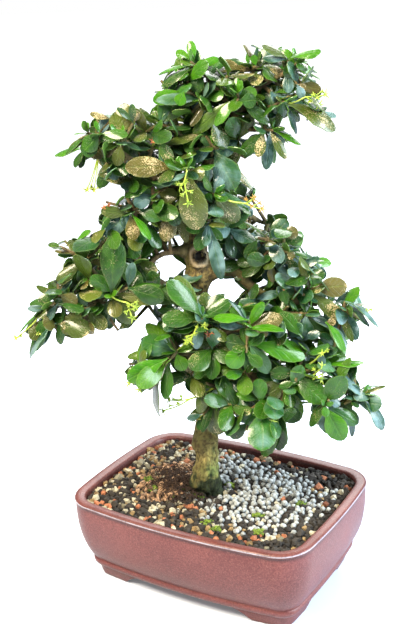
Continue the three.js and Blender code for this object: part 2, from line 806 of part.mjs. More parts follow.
function pot() {
  const rings = [...OUTSIDE, ...LIP_TOP, ...INSIDE].map(([height, inset]) => potRing(inset, height));
  const feet = [foot(1, 1), foot(-1, 1), foot(-1, -1), foot(1, -1)];
  let body = joined([loft(rings), ...feet]);
  for (const x of [-DRAIN_OFFSET, DRAIN_OFFSET]) {
    body = body.subtract(limb([vec(x, 0, 2), vec(x, 0, FLOOR_HEIGHT + 4)], [DRAIN_RADIUS, DRAIN_RADIUS], 8));
  }
  addNode("pot", body, COLOUR.glaze, 0.42);
}

function block(x0, x1, y0, y1, z0, z1) {
  return loft([z0, z1].map((z) => [vec(x0, y0, z), vec(x1, y0, z), vec(x1, y1, z), vec(x0, y1, z)]));
}

// The mesh that keeps the soil in over each drainage hole
function screens() {
  const bottom = FLOOR_HEIGHT + WALL_GAP;
  for (const [name, x] of [["screen_left", -DRAIN_OFFSET], ["screen_right", DRAIN_OFFSET]]) {
    const h = SCREEN_SIDE / 2;
    let plate = block(x - h, x + h, -h, h, bottom, bottom + SCREEN_THICKNESS);
    const step = SCREEN_SIDE / SCREEN_CELLS;
    const half = step / 2 - SCREEN_BAR / 2;
    for (let i = 0; i < SCREEN_CELLS; i++) {
      for (let j = 0; j < SCREEN_CELLS; j++) {
        const cx = x - h + step * (i + 0.5);
        const cy = -h + step * (j + 0.5);
        plate = plate.subtract(block(cx - half, cx + half, cy - half, cy + half, bottom - 1, bottom + 3));
      }
    }
    addNode(name, plate, COLOUR.mesh, 0.6);
  }
}

// Soil

// A block whose top is lifted point by point.
function relief(pointAt, columns, rows, bottom) {
  const points = [];
  const faces = [];
  const at = (i, j) => j * (columns + 1) + i;
  for (let j = 0; j <= rows; j++) {
    for (let i = 0; i <= columns; i++) points.push(pointAt(i, j));
  }
  for (let j = 0; j < rows; j++) {
    for (let i = 0; i < columns; i++) {
      const [a, b, c, d] = [at(i, j), at(i + 1, j), at(i + 1, j + 1), at(i, j + 1)];
      if (j % 2) faces.push([a, b, c], [a, c, d]);
      else faces.push([a, b, d], [b, c, d]);
    }
  }
  const edge = [];
  for (let i = 0; i < columns; i++) edge.push(at(i, 0));
  for (let j = 0; j < rows; j++) edge.push(at(columns, j));
  for (let i = columns; i > 0; i--) edge.push(at(i, rows));
  for (let j = rows; j > 0; j--) edge.push(at(0, j));
  const low = points.length;
  edge.forEach((k) => points.push(points[k].clone().setZ(bottom)));
  const middle = points.length;
  const centre = vec(0, 0, 0);
  edge.forEach((k) => centre.addScaledVector(points[k], 1 / edge.length));
  points.push(centre.setZ(bottom));
  edge.forEach((k, n) => {
    const next = (n + 1) % edge.length;
    faces.push([k, low + n, low + next], [k, low + next, edge[next]], [low + n, middle, low + next]);
  });
  return solid(points, faces);
}

function moundLift(x, y) {
  const across = (x - MOUND.x) / MOUND.halfLength;
  const along = (y - MOUND.y) / MOUND.halfWidth;
  return MOUND.height * Math.exp(-(across ** 2) - along ** 2);
}

function soilPoint(i, j) {
  const x = THREE.MathUtils.lerp(-POT_HALF_LENGTH, POT_HALF_LENGTH, i / SOIL_COLUMNS);
  const y = THREE.MathUtils.lerp(-POT_HALF_WIDTH, POT_HALF_WIDTH, j / SOIL_ROWS);
  const grain = (draw(SOIL_SEED, i, j) - 0.5) * SOIL_GRAIN;
  const shiftX = (draw(SOIL_SEED + 1, i, j) - 0.5) * 3;
  const shiftY = (draw(SOIL_SEED + 2, i, j) - 0.5) * 3;
  return vec(x + shiftX, y + shiftY, SOIL_LEVEL + moundLift(x, y) + grain);
}

// Every third point of a lattice of equal triangles is a pellet's crown, and the rest lie between.
function pelletPoint(i, j) {
  const x = DRIFT_CORNER[0] + (i + j / 2 - Math.floor(j / 2)) * PELLET_STEP;
  const y = DRIFT_CORNER[1] + j * PELLET_STEP * Math.sqrt(0.75);
  const crown = (((i - Math.floor(j / 2) - j) % 3) + 3) % 3 === 0;
  const lift = crown ? PELLET_HEIGHT * (0.8 + 0.4 * draw(PELLET_SEED, i, j)) : 0;
  return vec(x, y, SOIL_LEVEL + moundLift(x, y) * 0.5 + lift);
}

function driftOutline(gap, z) {
  const centre = DRIFT.reduce((sum, [x, y]) => sum.add(vec(x, y, 0)), vec(0, 0, 0));
  centre.divideScalar(DRIFT.length);
  return DRIFT.map(([x, y]) => {
    const p = vec(x, y, 0);
    const outward = p.clone().sub(centre).normalize();
    return p.addScaledVector(outward, gap).setZ(z);
  });
}

function soil() {
  const inside = [...INSIDE].reverse().map(([height, inset]) => potRing(inset + WALL_GAP, height));
  inside[0].forEach((p) => p.setZ(FLOOR_HEIGHT + WALL_GAP));
  inside.push(potRing(INSIDE[0][1] + WALL_GAP, ABOVE_SOIL));
  const stump = treePoint(...STUMP);
  const hole = limb([stump.clone().setZ(STUMP_BOTTOM - WALL_GAP), stump.clone().setZ(ABOVE_SOIL)],
    [STUMP_RADIUS + WALL_GAP, STUMP_RADIUS + WALL_GAP], TRUNK_SIDES);
  let bed = relief(soilPoint, SOIL_COLUMNS, SOIL_ROWS, BELOW_FLOOR).intersect(loft(inside)).subtract(hole);
  const room = 2 * WALL_GAP;
  bed = bed.subtract(loft([driftOutline(room, DRIFT_BOTTOM - WALL_GAP), driftOutline(room, ABOVE_SOIL)]));
  const h = SCREEN_SIDE / 2 + WALL_GAP;
  const top = FLOOR_HEIGHT + SCREEN_THICKNESS + 2 * WALL_GAP;
  for (const x of [-DRAIN_OFFSET, DRAIN_OFFSET]) {
    bed = bed.subtract(block(x - h, x + h, -h, h, BELOW_FLOOR, top));
  }
  addNode("soil", bed, COLOUR.soil, 0.95);
  const heap = relief(pelletPoint, PELLET_COLUMNS, PELLET_ROWS, BELOW_FLOOR);
  const drift = heap.intersect(loft([driftOutline(0, DRIFT_BOTTOM), driftOutline(0, ABOVE_SOIL)]));
  addNode("pellets", drift.subtract(hole), COLOUR.pellets, 0.9);
}

// Wood

function treePoint(x, y, z) {
  return vec(0, 0, z).addScaledVector(treeAcross, x).addScaledVector(treeBack, y);
}

const obstacles = []; // what a leaf has to stay clear of: {owner, points, radius}

function wood() {
  const limbs = Object.entries(LIMBS).map(([name, stations]) => {
    const points = stations.map(([x, y, z]) => treePoint(x, y, z));
    const radii = stations.map(([, , , r]) => r);
    for (let k = 0; k + 1 < points.length; k++) {
      const radius = Math.max(radii[k], radii[k + 1]);
      const cap = k + 2 === points.length ? radius / points[k].distanceTo(points[k + 1]) : 0;
      obstacles.push({ owner: "wood", a: points[k], b: points[k + 1].clone().lerp(points[k], cap), radius });
    }
    const sides = name === "trunk" ? TRUNK_SIDES : radii[0] > 4.2 ? 5 : 4;
    return limb(points, radii, sides);
  });
  const scar = SCAR.map(([x, y, z]) => treePoint(x, y, z));
  limbs.push(limb(scar, [SCAR_RADIUS + 1, SCAR_RADIUS], 8));
  const tree = joined(limbs);
  addNode("wood", tree, COLOUR.bark, 0.85);
  return tree;
}

// Where a shoot leaves a limb: just past its end, or just outside its bark.
function shootStart([limbName, index], target) {
  const stations = LIMBS[limbName];
  const place = (k) => treePoint(stations[k][0], stations[k][1], stations[k][2]);
  const p = place(index);
  const radius = stations[index][3];
  const last = index === stations.length - 1;
  const along = last ? p.clone().sub(place(index - 1)) : place(index + 1).sub(p);
  const away = target.clone().sub(p).normalize();
  const slant = away.dot(along.normalize());
  const sine = Math.sqrt(1 - slant ** 2);
  if (last && slant > 0.4) return p.addScaledVector(away, (WALL_GAP + SHOOT_RADIUS * sine) / slant);
  const out = (radius + WALL_GAP + SHOOT_RADIUS * Math.abs(slant)) / Math.max(sine, 0.35);
  return p.addScaledVector(away, out);
}

// Leaves

// Blades by width: [share of the length, share of the half width] once round, with the faces
const BLADES = [
  {
    upTo: 9.6,
    outline: [[0, 0], [0.42, 0.9], [0.92, 0.6], [0.92, -0.6], [0.42, -0.9]],
    faces: [[0, 1, 4], [1, 2, 4], [2, 3, 4]],
  },
  {
    upTo: 12.5,
    outline: [[0, 0], [0.4, 0.9], [0.82, 0.88], [1, 0], [0.82, -0.88], [0.4, -0.9]],
    faces: [[0, 1, 5], [1, 2, 4], [1, 4, 5], [2, 3, 4]],
  },
  {
    upTo: 17.5,
    outline: [[0, 0], [0.24, 0.6], [0.56, 1], [0.86, 0.76], [1, 0], [0.86, -0.76], [0.56, -1], [0.24, -0.6]],
    faces: [[0, 1, 7], [1, 2, 6], [1, 6, 7], [2, 3, 5], [2, 5, 6], [3, 4, 5]],
  },
  {
    upTo: Infinity,
    outline: [[0, 0], [0.24, 0.62], [0.55, 1], [0.85, 0.82], [0.93, 0.45], [1, 0], [0.93, -0.45],
      [0.85, -0.82], [0.55, -1], [0.24, -0.62]],
    faces: [[0, 1, 9], [1, 2, 8], [1, 8, 9], [2, 3, 7], [2, 7, 8], [3, 4, 6], [3, 6, 7], [4, 5, 6]],
  },
];

// A blade from its root to its tip, arched towards its upper side.
function blade(root, tip, upper, width, arch) {
  const along = tip.clone().sub(root);
  const length = along.length();
  const normal = upper.clone().projectOnPlane(along).normalize();
  const side = along.clone().normalize().cross(normal);
  const form = BLADES.find(({ upTo }) => width < upTo);
  const points = form.outline.map(([s, w]) => {
    const p = root.clone().addScaledVector(along, s);
    p.addScaledVector(normal, arch * length * 4 * s * (1 - s));
    return p.addScaledVector(side, (w * width) / 2);
  });
  return { root, tip, normal, form, points, centre: root.clone().lerp(tip, 0.5), reach: length * 0.62 };
}

// A slab over the blade's outline that comes to a point at the root.
function bladeSolid({ points, normal, form }) {
  const rim = points.slice(1);
  const size = rim.length;
  const upper = rim.map((p) => p.clone().addScaledVector(normal, BLADE_THICKNESS / 2));
  const lower = rim.map((p) => p.clone().addScaledVector(normal, -BLADE_THICKNESS / 2));
  const low = (i) => (i ? size + i : 0);
  const faces = [];
  for (const [a, b, c] of form.faces) faces.push([a, b, c], [low(c), low(b), low(a)]);
  for (let i = 1; i < size; i++) faces.push([low(i), low(i + 1), i + 1], [low(i), i + 1, i]);
  faces.push([0, low(1), 1], [0, size, low(size)]);
  return solid([points[0], ...upper, ...lower], faces);
}

function segmentGap(a, b, c, d) {
  const u = b.clone().sub(a);
  const v = d.clone().sub(c);
  const w = a.clone().sub(c);
  const uu = u.dot(u);
  const uv = u.dot(v);
  const vv = v.dot(v);
  const uw = u.dot(w);
  const vw = v.dot(w);
  const spread = uu * vv - uv * uv;
  let s = spread > 1e-9 ? THREE.MathUtils.clamp((uv * vw - vv * uw) / spread, 0, 1) : 0;
  const t = vv > 1e-9 ? THREE.MathUtils.clamp((uv * s + vw) / vv, 0, 1) : 0;
  s = uu > 1e-9 ? THREE.MathUtils.clamp((uv * t - uw) / uu, 0, 1) : 0;
  return a.clone().addScaledVector(u, s).distanceTo(c.clone().addScaledVector(v, t));
}

const scratch = vec(0, 0, 0);

function pointGap(p, triangle) {
  return triangle.closestPointToPoint(p, scratch).distanceTo(p);
}

function pierces(a, b, triangle) {
  const along = b.clone().sub(a);
  const length = along.length();
  if (length < 1e-6) return false;
  const ray = new THREE.Ray(a, along.divideScalar(length));
  const hit = ray.intersectTriangle(triangle.a, triangle.b, triangle.c, false, scratch);
  return hit !== null && hit.distanceTo(a) <= length;
}

// The least distance between two triangles; a segment is a triangle with two equal corners.
function triangleGap(one, two) {
  const p = [one.a, one.b, one.c];
  const q = [two.a, two.b, two.c];
  let least = Infinity;
  for (let i = 0; i < 3; i++) {
    if (pierces(p[i], p[(i + 1) % 3], two) || pierces(q[i], q[(i + 1) % 3], one)) return 0;
    least = Math.min(least, pointGap(p[i], two), pointGap(q[i], one));
    for (let j = 0; j < 3; j++) {
      least = Math.min(least, segmentGap(p[i], p[(i + 1) % 3], q[j], q[(j + 1) % 3]));
    }
  }
  return least;
}

// The faces of a blade; those that leaves of one twig keep apart leave out the root's first stretch.
function bladeTriangles({ points, form }, withRoot) {
  const triangles = form.faces.map(([a, b, c]) => new THREE.Triangle(points[a], points[b], points[c]));
  if (withRoot) return triangles;
  const [root, left, right] = [points[0], points[1], points.at(-1)];
  const share = ROOT_SHARE / form.outline[1][0];
  const nearLeft = root.clone().lerp(left, share);
  const nearRight = root.clone().lerp(right, share);
  const outer = [new THREE.Triangle(nearLeft, left, right), new THREE.Triangle(nearLeft, right, nearRight)];
  return [...outer, ...triangles.slice(1)];
}

const grown = []; // every blade that has its place

// Whether a blade keeps its distance from wood, twigs, stalks and the blades that grew before it.
function isClear(candidate, owner) {
  candidate.whole = bladeTriangles(candidate, true);
  candidate.outer = bladeTriangles(candidate, false);
  const { whole, outer } = candidate;
  for (const other of obstacles) {
    const own = other.owner === owner;
    const room = other.radius + BLADE_THICKNESS / 2 + (own ? 0 : WALL_GAP);
    const nearest = segmentGap(candidate.root, candidate.tip, other.a, other.b);
    if (nearest > candidate.reach + room) continue;
    const line = new THREE.Triangle(other.a, other.b, other.b);
    for (const t of own ? outer : whole) if (triangleGap(t, line) < room) return false;
  }
  for (const other of grown) {
    if (other.centre.distanceTo(candidate.centre) > other.reach + candidate.reach + 2) continue;
    const own = other.owner === owner;
    const room = BLADE_THICKNESS + (own ? 0.1 : WALL_GAP);
    for (const t of own ? outer : whole) {
      for (const u of own ? other.outer : other.whole) {
        if (triangleGap(t, u) < room) return false;
      }
    }
  }
  candidate.owner = owner;
  grown.push(candidate);
  return true;
}

// A leaf set by hand: how far across the front it points, how far towards the viewer, and its face.
function chosenBlade(spray, index, root, attempt) {
  const [hub, angle, length, lean, width, face] = spray.leaves[index];
  const [leanBy, turnBy] = CHOSEN_TRIES[attempt];
  const turn = THREE.MathUtils.degToRad(angle + turnBy);
  const tilt = THREE.MathUtils.degToRad(lean + leanBy);
  const reach = [Math.cos(turn) * Math.cos(tilt), -Math.sin(tilt), Math.sin(turn) * Math.cos(tilt)];
  const tip = spray.hubs[hub].clone().add(treePoint(...reach.map((v) => v * length)));
  const show = THREE.MathUtils.degToRad(face);
  const upper = treePoint(0, -Math.sin(show), Math.cos(show));
  const arch = THREE.MathUtils.lerp(0.04, 0.1, draw(spray.seed, index, 1));
  return blade(root, tip, upper, width, arch);
}

// A leaf set by rule: the next round its hub by the golden angle, the later ones smaller and steeper.
function ruledBlade(spray, hub, index, root, attempt) {
  const count = spray.counts[hub];
  const share = count > 1 ? index / (count - 1) : 0.5;
  const axis = spray.axes[hub];
  const turn = 2 * Math.PI * draw(spray.seed, hub, 2) + GOLDEN_ANGLE * index;
  const swing = turn + THREE.MathUtils.degToRad(SWING_TRIES[attempt]);
  const open = THREE.MathUtils.degToRad(92 - 44 * share + 24 * (draw(spray.seed, hub, index, 3) - 0.5));
  const u = vec(0.3, 0.2, 1).projectOnPlane(axis).normalize();
  const v = axis.clone().cross(u);
  const reach = axis.clone().multiplyScalar(Math.cos(open));
  reach.addScaledVector(u, Math.sin(open) * Math.cos(swing));
  reach.addScaledVector(v, Math.sin(open) * Math.sin(swing));
  const towards = reach.dot(treeBack);
  if (spray.leaves.length && towards < 0) reach.addScaledVector(treeBack, -2 * towards);
  const size = (1 - 0.25 * share) * (0.8 + 0.35 * draw(spray.seed, hub, index, 4)) * 0.95 ** attempt;
  const length = LEAF_LENGTH * size;
  const tip = spray.hubs[hub].clone().addScaledVector(reach, length);
  const width = length * THREE.MathUtils.lerp(0.42, 0.52, draw(spray.seed, hub, index, 5));
  const upper = axis.clone().addScaledVector(vec(0, 0, 1), 0.3);
  return blade(root, tip, upper, width, THREE.MathUtils.lerp(0.05, 0.1, draw(spray.seed, hub, index, 6)));
}

function grow(spray, tries, make) {
  for (let attempt = 0; attempt < tries; attempt++) {
    const candidate = make(attempt);
    if (isClear(candidate, spray.name)) {
      spray.solids.push(bladeSolid(candidate));
      return;
    }
  }
}

// A twig or stalk, its first point slid along it until it stands SEAT_GAP from what carries it.
function seated(points, radii, sides, carrier) {
  const way = points[1].clone().sub(points[0]).normalize();
  let made = limb(points, radii, sides);
  for (let turn = 0; turn < SEAT_TURNS; turn++) {
    const gap = carrier.minGap(made, SEAT_REACH);
    if (gap >= SEAT_REACH) return made;
    points[0].addScaledVector(way, SEAT_GAP - gap);
    made = limb(points, radii, sides);
  }
  return made;
}

// The twig of a spray, from the wood through its hubs.
function startSpray(plan, seed, carrier) {
  const hubs = plan.hubs.map(([x, y, z]) => treePoint(x, y, z));
  const start = shootStart(plan.from, hubs[0]);
  const spray = {
    name: plan.name,
    leaves: plan.leaves,
    seed,
    hubs,
    counts: plan.hubs.map((hub) => hub[3]),
    taken: plan.hubs.map(() => 0),
    axes: [],
    ends: [],
    ahead: [],
    steps: [],
    solids: [],
  };
  const parents = plan.hubs.map((hub, k) => hub[4] ?? k - 1);
  const froms = parents.map((parent) => (parent < 0 ? start : hubs[parent]));
  const ways = hubs.map((hub, k) => hub.clone().sub(froms[k]).normalize());
  const goesOn = (k) => parents[k] === k - 1 && k > 0 && ways[k].dot(ways[k - 1]) > 0.5;
  let chain = [];
  hubs.forEach((hub, k) => {
    if (!goesOn(k)) chain = [froms[k]];
    const isTip = !parents.includes(k);
    const leaves = spray.counts[k] + plan.leaves.filter((leaf) => leaf[0] === k).length;
    const room = hub.distanceTo(froms[k]) - LEAF_STEP;
    const ahead = isTip ? THREE.MathUtils.clamp(leaves * LEAF_STEP - room, 0, MOST_AHEAD) : 0;
    spray.ahead.push(ahead);
    spray.steps.push(Math.min(LEAF_STEP, (ahead + room) / leaves));
    spray.ends.push(hub.clone().addScaledVector(ways[k], ahead + 1.5));
    spray.axes.push(ways[k].clone().multiplyScalar(0.55).add(vec(0, 0, 0.65)).normalize());
    obstacles.push({ owner: plan.name, a: froms[k], b: spray.ends[k], radius: SHOOT_RADIUS });
    chain.push(hub);
    if (k + 1 < hubs.length && goesOn(k + 1)) return;
    const points = [...chain.slice(0, -1), spray.ends[k]];
    const taper = (i) => THREE.MathUtils.lerp(SHOOT_RADIUS, TWIG_RADIUS, i / (points.length - 1));
    const radii = points.map((_, i) => taper(i));
    const isFirst = chain[0] === start;
    spray.solids.push(isFirst ? seated(points, radii, 3, carrier) : limb(points, radii, 3));
  });
  spray.nextRoot = (hub) => {
    const along = spray.ahead[hub] - spray.steps[hub] * spray.taken[hub];
    spray.taken[hub] += 1;
    return hubs[hub].clone().addScaledVector(ways[hub], along);
  };
  return spray;
}

function sprays(carrier) {
  const all = SPRAYS.map((plan, seed) => startSpray(plan, seed + 1, carrier));
  cymes(all);
  for (const spray of all) {
    spray.leaves.forEach(([hub], i) => {
      const root = spray.nextRoot(hub);
      grow(spray, CHOSEN_TRIES.length, (attempt) => chosenBlade(spray, i, root, attempt));
    });
  }
  for (const spray of all) {
    spray.counts.forEach((count, hub) => {
      for (let i = 0; i < count; i++) {
        const root = spray.nextRoot(hub);
        grow(spray, SWING_TRIES.length, (attempt) => ruledBlade(spray, hub, i, root, attempt));
      }
    });
  }
  for (const spray of all) addNode(spray.name, joined(spray.solids), COLOUR.leaf, 0.45);
}

// Flowers: the yellow-green calyxes left by the flowers, each a star of five lobes

// A star on its stalk: the stalk's last ring is the middle of the star's underside.
function star(fork, centre, normal) {
  const ringAt = (p, axis, count, radiusAt) => {
    const u = vec(0.2, 0.1, 1).projectOnPlane(axis).normalize();
    const v = axis.clone().cross(u);
    return Array.from({ length: count }, (_, i) => {
      const turn = (2 * Math.PI * i) / count;
      const q = p.clone().addScaledVector(u, radiusAt(i) * Math.cos(turn));
      return q.addScaledVector(v, radiusAt(i) * Math.sin(turn));
    });
  };
  const along = centre.clone().sub(fork).normalize();
  const foot = ringAt(fork, along, 3, () => STALK_RADIUS);
  const under = centre.clone().addScaledVector(normal, -STAR_DEPTH / 2);
  const neck = ringAt(under, normal, 3, () => STALK_RADIUS);
  const lobes = ringAt(centre, normal, 10, (i) => (i % 2 ? STAR_RADIUS * 0.45 : STAR_RADIUS));
  const points = [...foot, ...neck, ...lobes, centre.clone().addScaledVector(normal, STAR_DEPTH / 2)];
  const faces = [[2, 1, 0]];
  for (let i = 0; i < 3; i++) {
    const next = (i + 1) % 3;
    faces.push([i, next, 3 + next], [i, 3 + next, 3 + i]);
  }
  for (let i = 0; i < 10; i++) {
    const next = (i + 1) % 10;
    const near = 3 + (Math.round(i * 0.3) % 3);
    const later = 3 + (Math.round((i + 1) * 0.3) % 3);
    faces.push([16, 6 + i, 6 + next], [near, 6 + next, 6 + i]);
    if (near !== later) faces.push([near, later, 6 + next]);
  }
  return solid(points, faces);
}

function cymes(all) {
  const viewer = treeBack.clone().negate().multiplyScalar(0.85).add(vec(0, 0, 0.5));
  for (const plan of CYMES) {
    const spray = all.find((one) => one.name === plan.from[0]);
    const fork = treePoint(...plan.fork);
    const twigEnd = spray.ends[plan.from[1]];
    const way = fork.clone().sub(twigEnd).normalize();
    const start = twigEnd.clone().addScaledVector(way, WALL_GAP + TWIG_RADIUS);
    const end = fork.clone().addScaledVector(way, STALK_RADIUS);
    const solids = [seated([start, end], [STALK_RADIUS, STALK_RADIUS], 3, joined(spray.solids))];
    obstacles.push({ owner: plan.name, a: start, b: end, radius: STALK_RADIUS });
    for (const [x, y, z] of plan.stars) {
      const centre = treePoint(x, y, z);
      const outward = centre.clone().sub(fork).normalize();
      solids.push(star(fork, centre, outward.add(viewer).normalize()));
      obstacles.push({ owner: plan.name, a: fork, b: centre, radius: STALK_RADIUS });
      for (const axis of [treeAcross, vec(0, 0, 1)]) {
        const a = centre.clone().addScaledVector(axis, -STAR_RADIUS * 0.7);
        const b = centre.clone().addScaledVector(axis, STAR_RADIUS * 0.7);
        obstacles.push({ owner: plan.name, a, b, radius: STAR_DEPTH * 0.65 });
      }
    }
    addNode(plan.name, joined(solids), COLOUR.flower, 0.6);
  }
}

pot();
screens();
soil();
sprays(wood());

// The origin is the middle of the whole, on the ground.
const whole = new THREE.Box3().setFromObject(bonsai);
const middle = whole.getCenter(vec(0, 0, 0));
bonsai.position.set(-middle.x, -middle.y, -whole.min.z);

export default bonsai;
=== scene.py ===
# %% [markdown]
# # A fukien tea bonsai in its pot
# A plain model of the tree already stands in the file, with every spray, limb and grain bed at its real
# size. This lesson dresses it: each plain solid is replaced by a finer piece of the same form, and every
# surface gets a finish made of shader nodes.

# %% Load the plain model
import math
import random
from contextlib import contextmanager
from dataclasses import dataclass

import bmesh
import bpy
import numpy as np
from mathutils import Matrix, Vector, noise
from mathutils.kdtree import KDTree


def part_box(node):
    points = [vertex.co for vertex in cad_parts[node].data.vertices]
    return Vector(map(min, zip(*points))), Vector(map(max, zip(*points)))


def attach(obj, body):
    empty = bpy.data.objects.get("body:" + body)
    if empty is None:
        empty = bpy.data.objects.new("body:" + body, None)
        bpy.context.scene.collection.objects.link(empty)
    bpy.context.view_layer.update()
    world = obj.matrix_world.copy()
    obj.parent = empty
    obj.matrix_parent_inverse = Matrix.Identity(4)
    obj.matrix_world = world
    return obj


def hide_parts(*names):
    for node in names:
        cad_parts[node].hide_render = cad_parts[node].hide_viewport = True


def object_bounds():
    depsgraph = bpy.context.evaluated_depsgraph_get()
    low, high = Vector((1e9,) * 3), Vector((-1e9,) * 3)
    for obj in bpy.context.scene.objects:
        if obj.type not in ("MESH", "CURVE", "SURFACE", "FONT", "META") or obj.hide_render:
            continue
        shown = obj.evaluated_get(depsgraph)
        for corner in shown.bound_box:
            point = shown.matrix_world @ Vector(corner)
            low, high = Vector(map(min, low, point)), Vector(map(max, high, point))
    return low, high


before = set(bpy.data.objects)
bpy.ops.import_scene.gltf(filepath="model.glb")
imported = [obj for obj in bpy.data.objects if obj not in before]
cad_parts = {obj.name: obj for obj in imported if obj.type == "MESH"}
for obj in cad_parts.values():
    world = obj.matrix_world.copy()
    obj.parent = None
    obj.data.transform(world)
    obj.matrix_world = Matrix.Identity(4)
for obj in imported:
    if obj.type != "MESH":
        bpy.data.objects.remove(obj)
cad_box = [list(corner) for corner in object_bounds()]
print("nodes", len(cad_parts), "box", cad_box)

# %% [markdown]
# ## Two sets of axes
# The pot stands square in the scene, but the tree's front is turned from it by about 31 degrees. The
# tree is easier to lay out in axes of its own: across the front, away from the viewer, and up. Lists are
# in millimetres, as a grower measures, and one function turns them into the scene's metres.

# %% Axes and units
MM = 0.001
FRONT_TURN = math.radians(31.4)
POT_LOW, POT_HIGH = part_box("pot")
POT_MIDDLE = Vector(((POT_LOW.x + POT_HIGH.x) / 2, (POT_LOW.y + POT_HIGH.y) / 2, POT_LOW.z))
ACROSS = Vector((math.cos(FRONT_TURN), math.sin(FRONT_TURN), 0))
BACK = Vector((-math.sin(FRONT_TURN), math.cos(FRONT_TURN), 0))
UP = Vector((0, 0, 1))


def tree_point(x, y, z):
    """A point of the tree's own axes in the pot's axes, in millimetres."""
    return ACROSS * x + BACK * y + UP * z


def placed(points):
    """Millimetres round the pot's middle, as metres in the scene."""
    return np.asarray(points, float).reshape(-1, 3) * MM + np.array(POT_MIDDLE)


print("pot's middle", [round(v, 4) for v in POT_MIDDLE])

# %% [markdown]
# ## Handling pieces
# An operator works on whatever is selected, so every step begins by selecting one thing and nothing else. A
# finished piece stands at the origin with its place in its mesh, and the plain solids that it stands for are
# hidden.

# %% Piece helpers


def fresh(add, **settings):
    """A new object, added with nothing else selected."""
    bpy.ops.object.select_all(action="DESELECT")
    add(**settings)
    return bpy.context.object


@contextmanager
def edit_mode():
    """The steps inside it are done in edit mode."""
    bpy.ops.object.mode_set(mode="EDIT")
    yield
    bpy.ops.object.mode_set(mode="OBJECT")


def move_points(piece, place):
    """Moves each point, in edit mode, to where the function puts it."""
    shape = bmesh.from_edit_mesh(piece.data)
    for vertex in shape.verts:
        vertex.co = place(*vertex.co)
    bmesh.update_edit_mesh(piece.data)


def face_out():
    """Turns all faces of the mesh in edit mode outwards."""
    bpy.ops.mesh.select_all(action="SELECT")
    bpy.ops.mesh.normals_make_consistent(inside=False)


def alone(piece):
    """Leaves one object selected and active."""
    bpy.ops.object.select_all(action="DESELECT")
    piece.select_set(True)
    bpy.context.view_layer.objects.active = piece
    return piece


def joined(pieces):
    """Several objects joined into the first one."""
    alone(pieces[0])
    for piece in pieces:
        piece.select_set(True)
    bpy.ops.object.join()
    return alone(pieces[0])


def applied(piece, kind, **settings):
    """A modifier, set and applied at once."""
    alone(piece)
    bpy.ops.object.modifier_add(type=kind)
    modifier = piece.modifiers[-1]
    for name, value in settings.items():
        setattr(modifier, name, value)
    bpy.ops.object.modifier_apply(modifier=modifier.name)
    return piece


def cut_by(piece, operation, tool):
    """A Boolean with another object, which is used up."""
    applied(piece, "BOOLEAN", operation=operation, solver="EXACT", object=tool)
    bpy.data.objects.remove(tool)


def mark_points(piece, name, values):
    """Notes a number on each point of the mesh, for its finish to read."""
    piece.data.attributes.new(name, "FLOAT", "POINT").data.foreach_set("value", values)


def triangles(piece):
    return sum(len(polygon.vertices) - 2 for polygon in piece.data.polygons)


def settle(piece, name, finish, slot, nodes, smooth=35):
    """Names a finished piece, gives it its finish, and sets it on the tree's one body."""
    alone(piece)
    bpy.ops.object.transform_apply(location=True, rotation=True, scale=True)
    piece.name = name
    piece.data.name = name
    piece.data.materials.clear()
    piece.data.materials.append(finish.material)
    bpy.ops.object.shade_smooth_by_angle(angle=math.radians(smooth))
    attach(piece, "root")
    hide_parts(*nodes)


print("piece helpers", fresh.__name__, "to", settle.__name__)

# %% [markdown]
# ## The camera
# The photograph looks at the tree's front from about 18 degrees above, a little tilted. A camera is an
# object like any other, so its place can be worked out from those angles. Its lens is given in
# millimetres for the long side of the picture.

# %% Camera
EYE = (-2.8, -747, 474)  # in the tree's axes
LOOK_DOWN = math.radians(18.02)
TILT = math.radians(-3)
LENS = 56.6

camera = fresh(bpy.ops.object.camera_add)
camera.name = "camera"
camera.data.lens = LENS
camera.data.clip_start = 0.05
backward = UP * math.sin(LOOK_DOWN) - BACK * math.cos(LOOK_DOWN)
upright = backward.cross(ACROSS)
right = ACROSS * math.cos(TILT) + upright * math.sin(TILT)
top = upright * math.cos(TILT) - ACROSS * math.sin(TILT)
turned = Matrix((right, top, backward)).transposed().to_4x4()
camera.matrix_world = Matrix.Translation(Vector(placed(tree_point(*EYE))[0])) @ turned
to_camera = camera.matrix_world.inverted()
bpy.context.scene.camera = camera
print("camera at", [round(v, 3) for v in camera.matrix_world.translation])

# %% [markdown]
# ## Building finishes from nodes
# A finish is a small machine of nodes, and most of the typing is the wiring. Two classes keep it short:
# one adds nodes and plugs in what they are given, the other starts a material and sets the numbers that
# are the same all over the surface straight on the shader.

# %% Node helpers


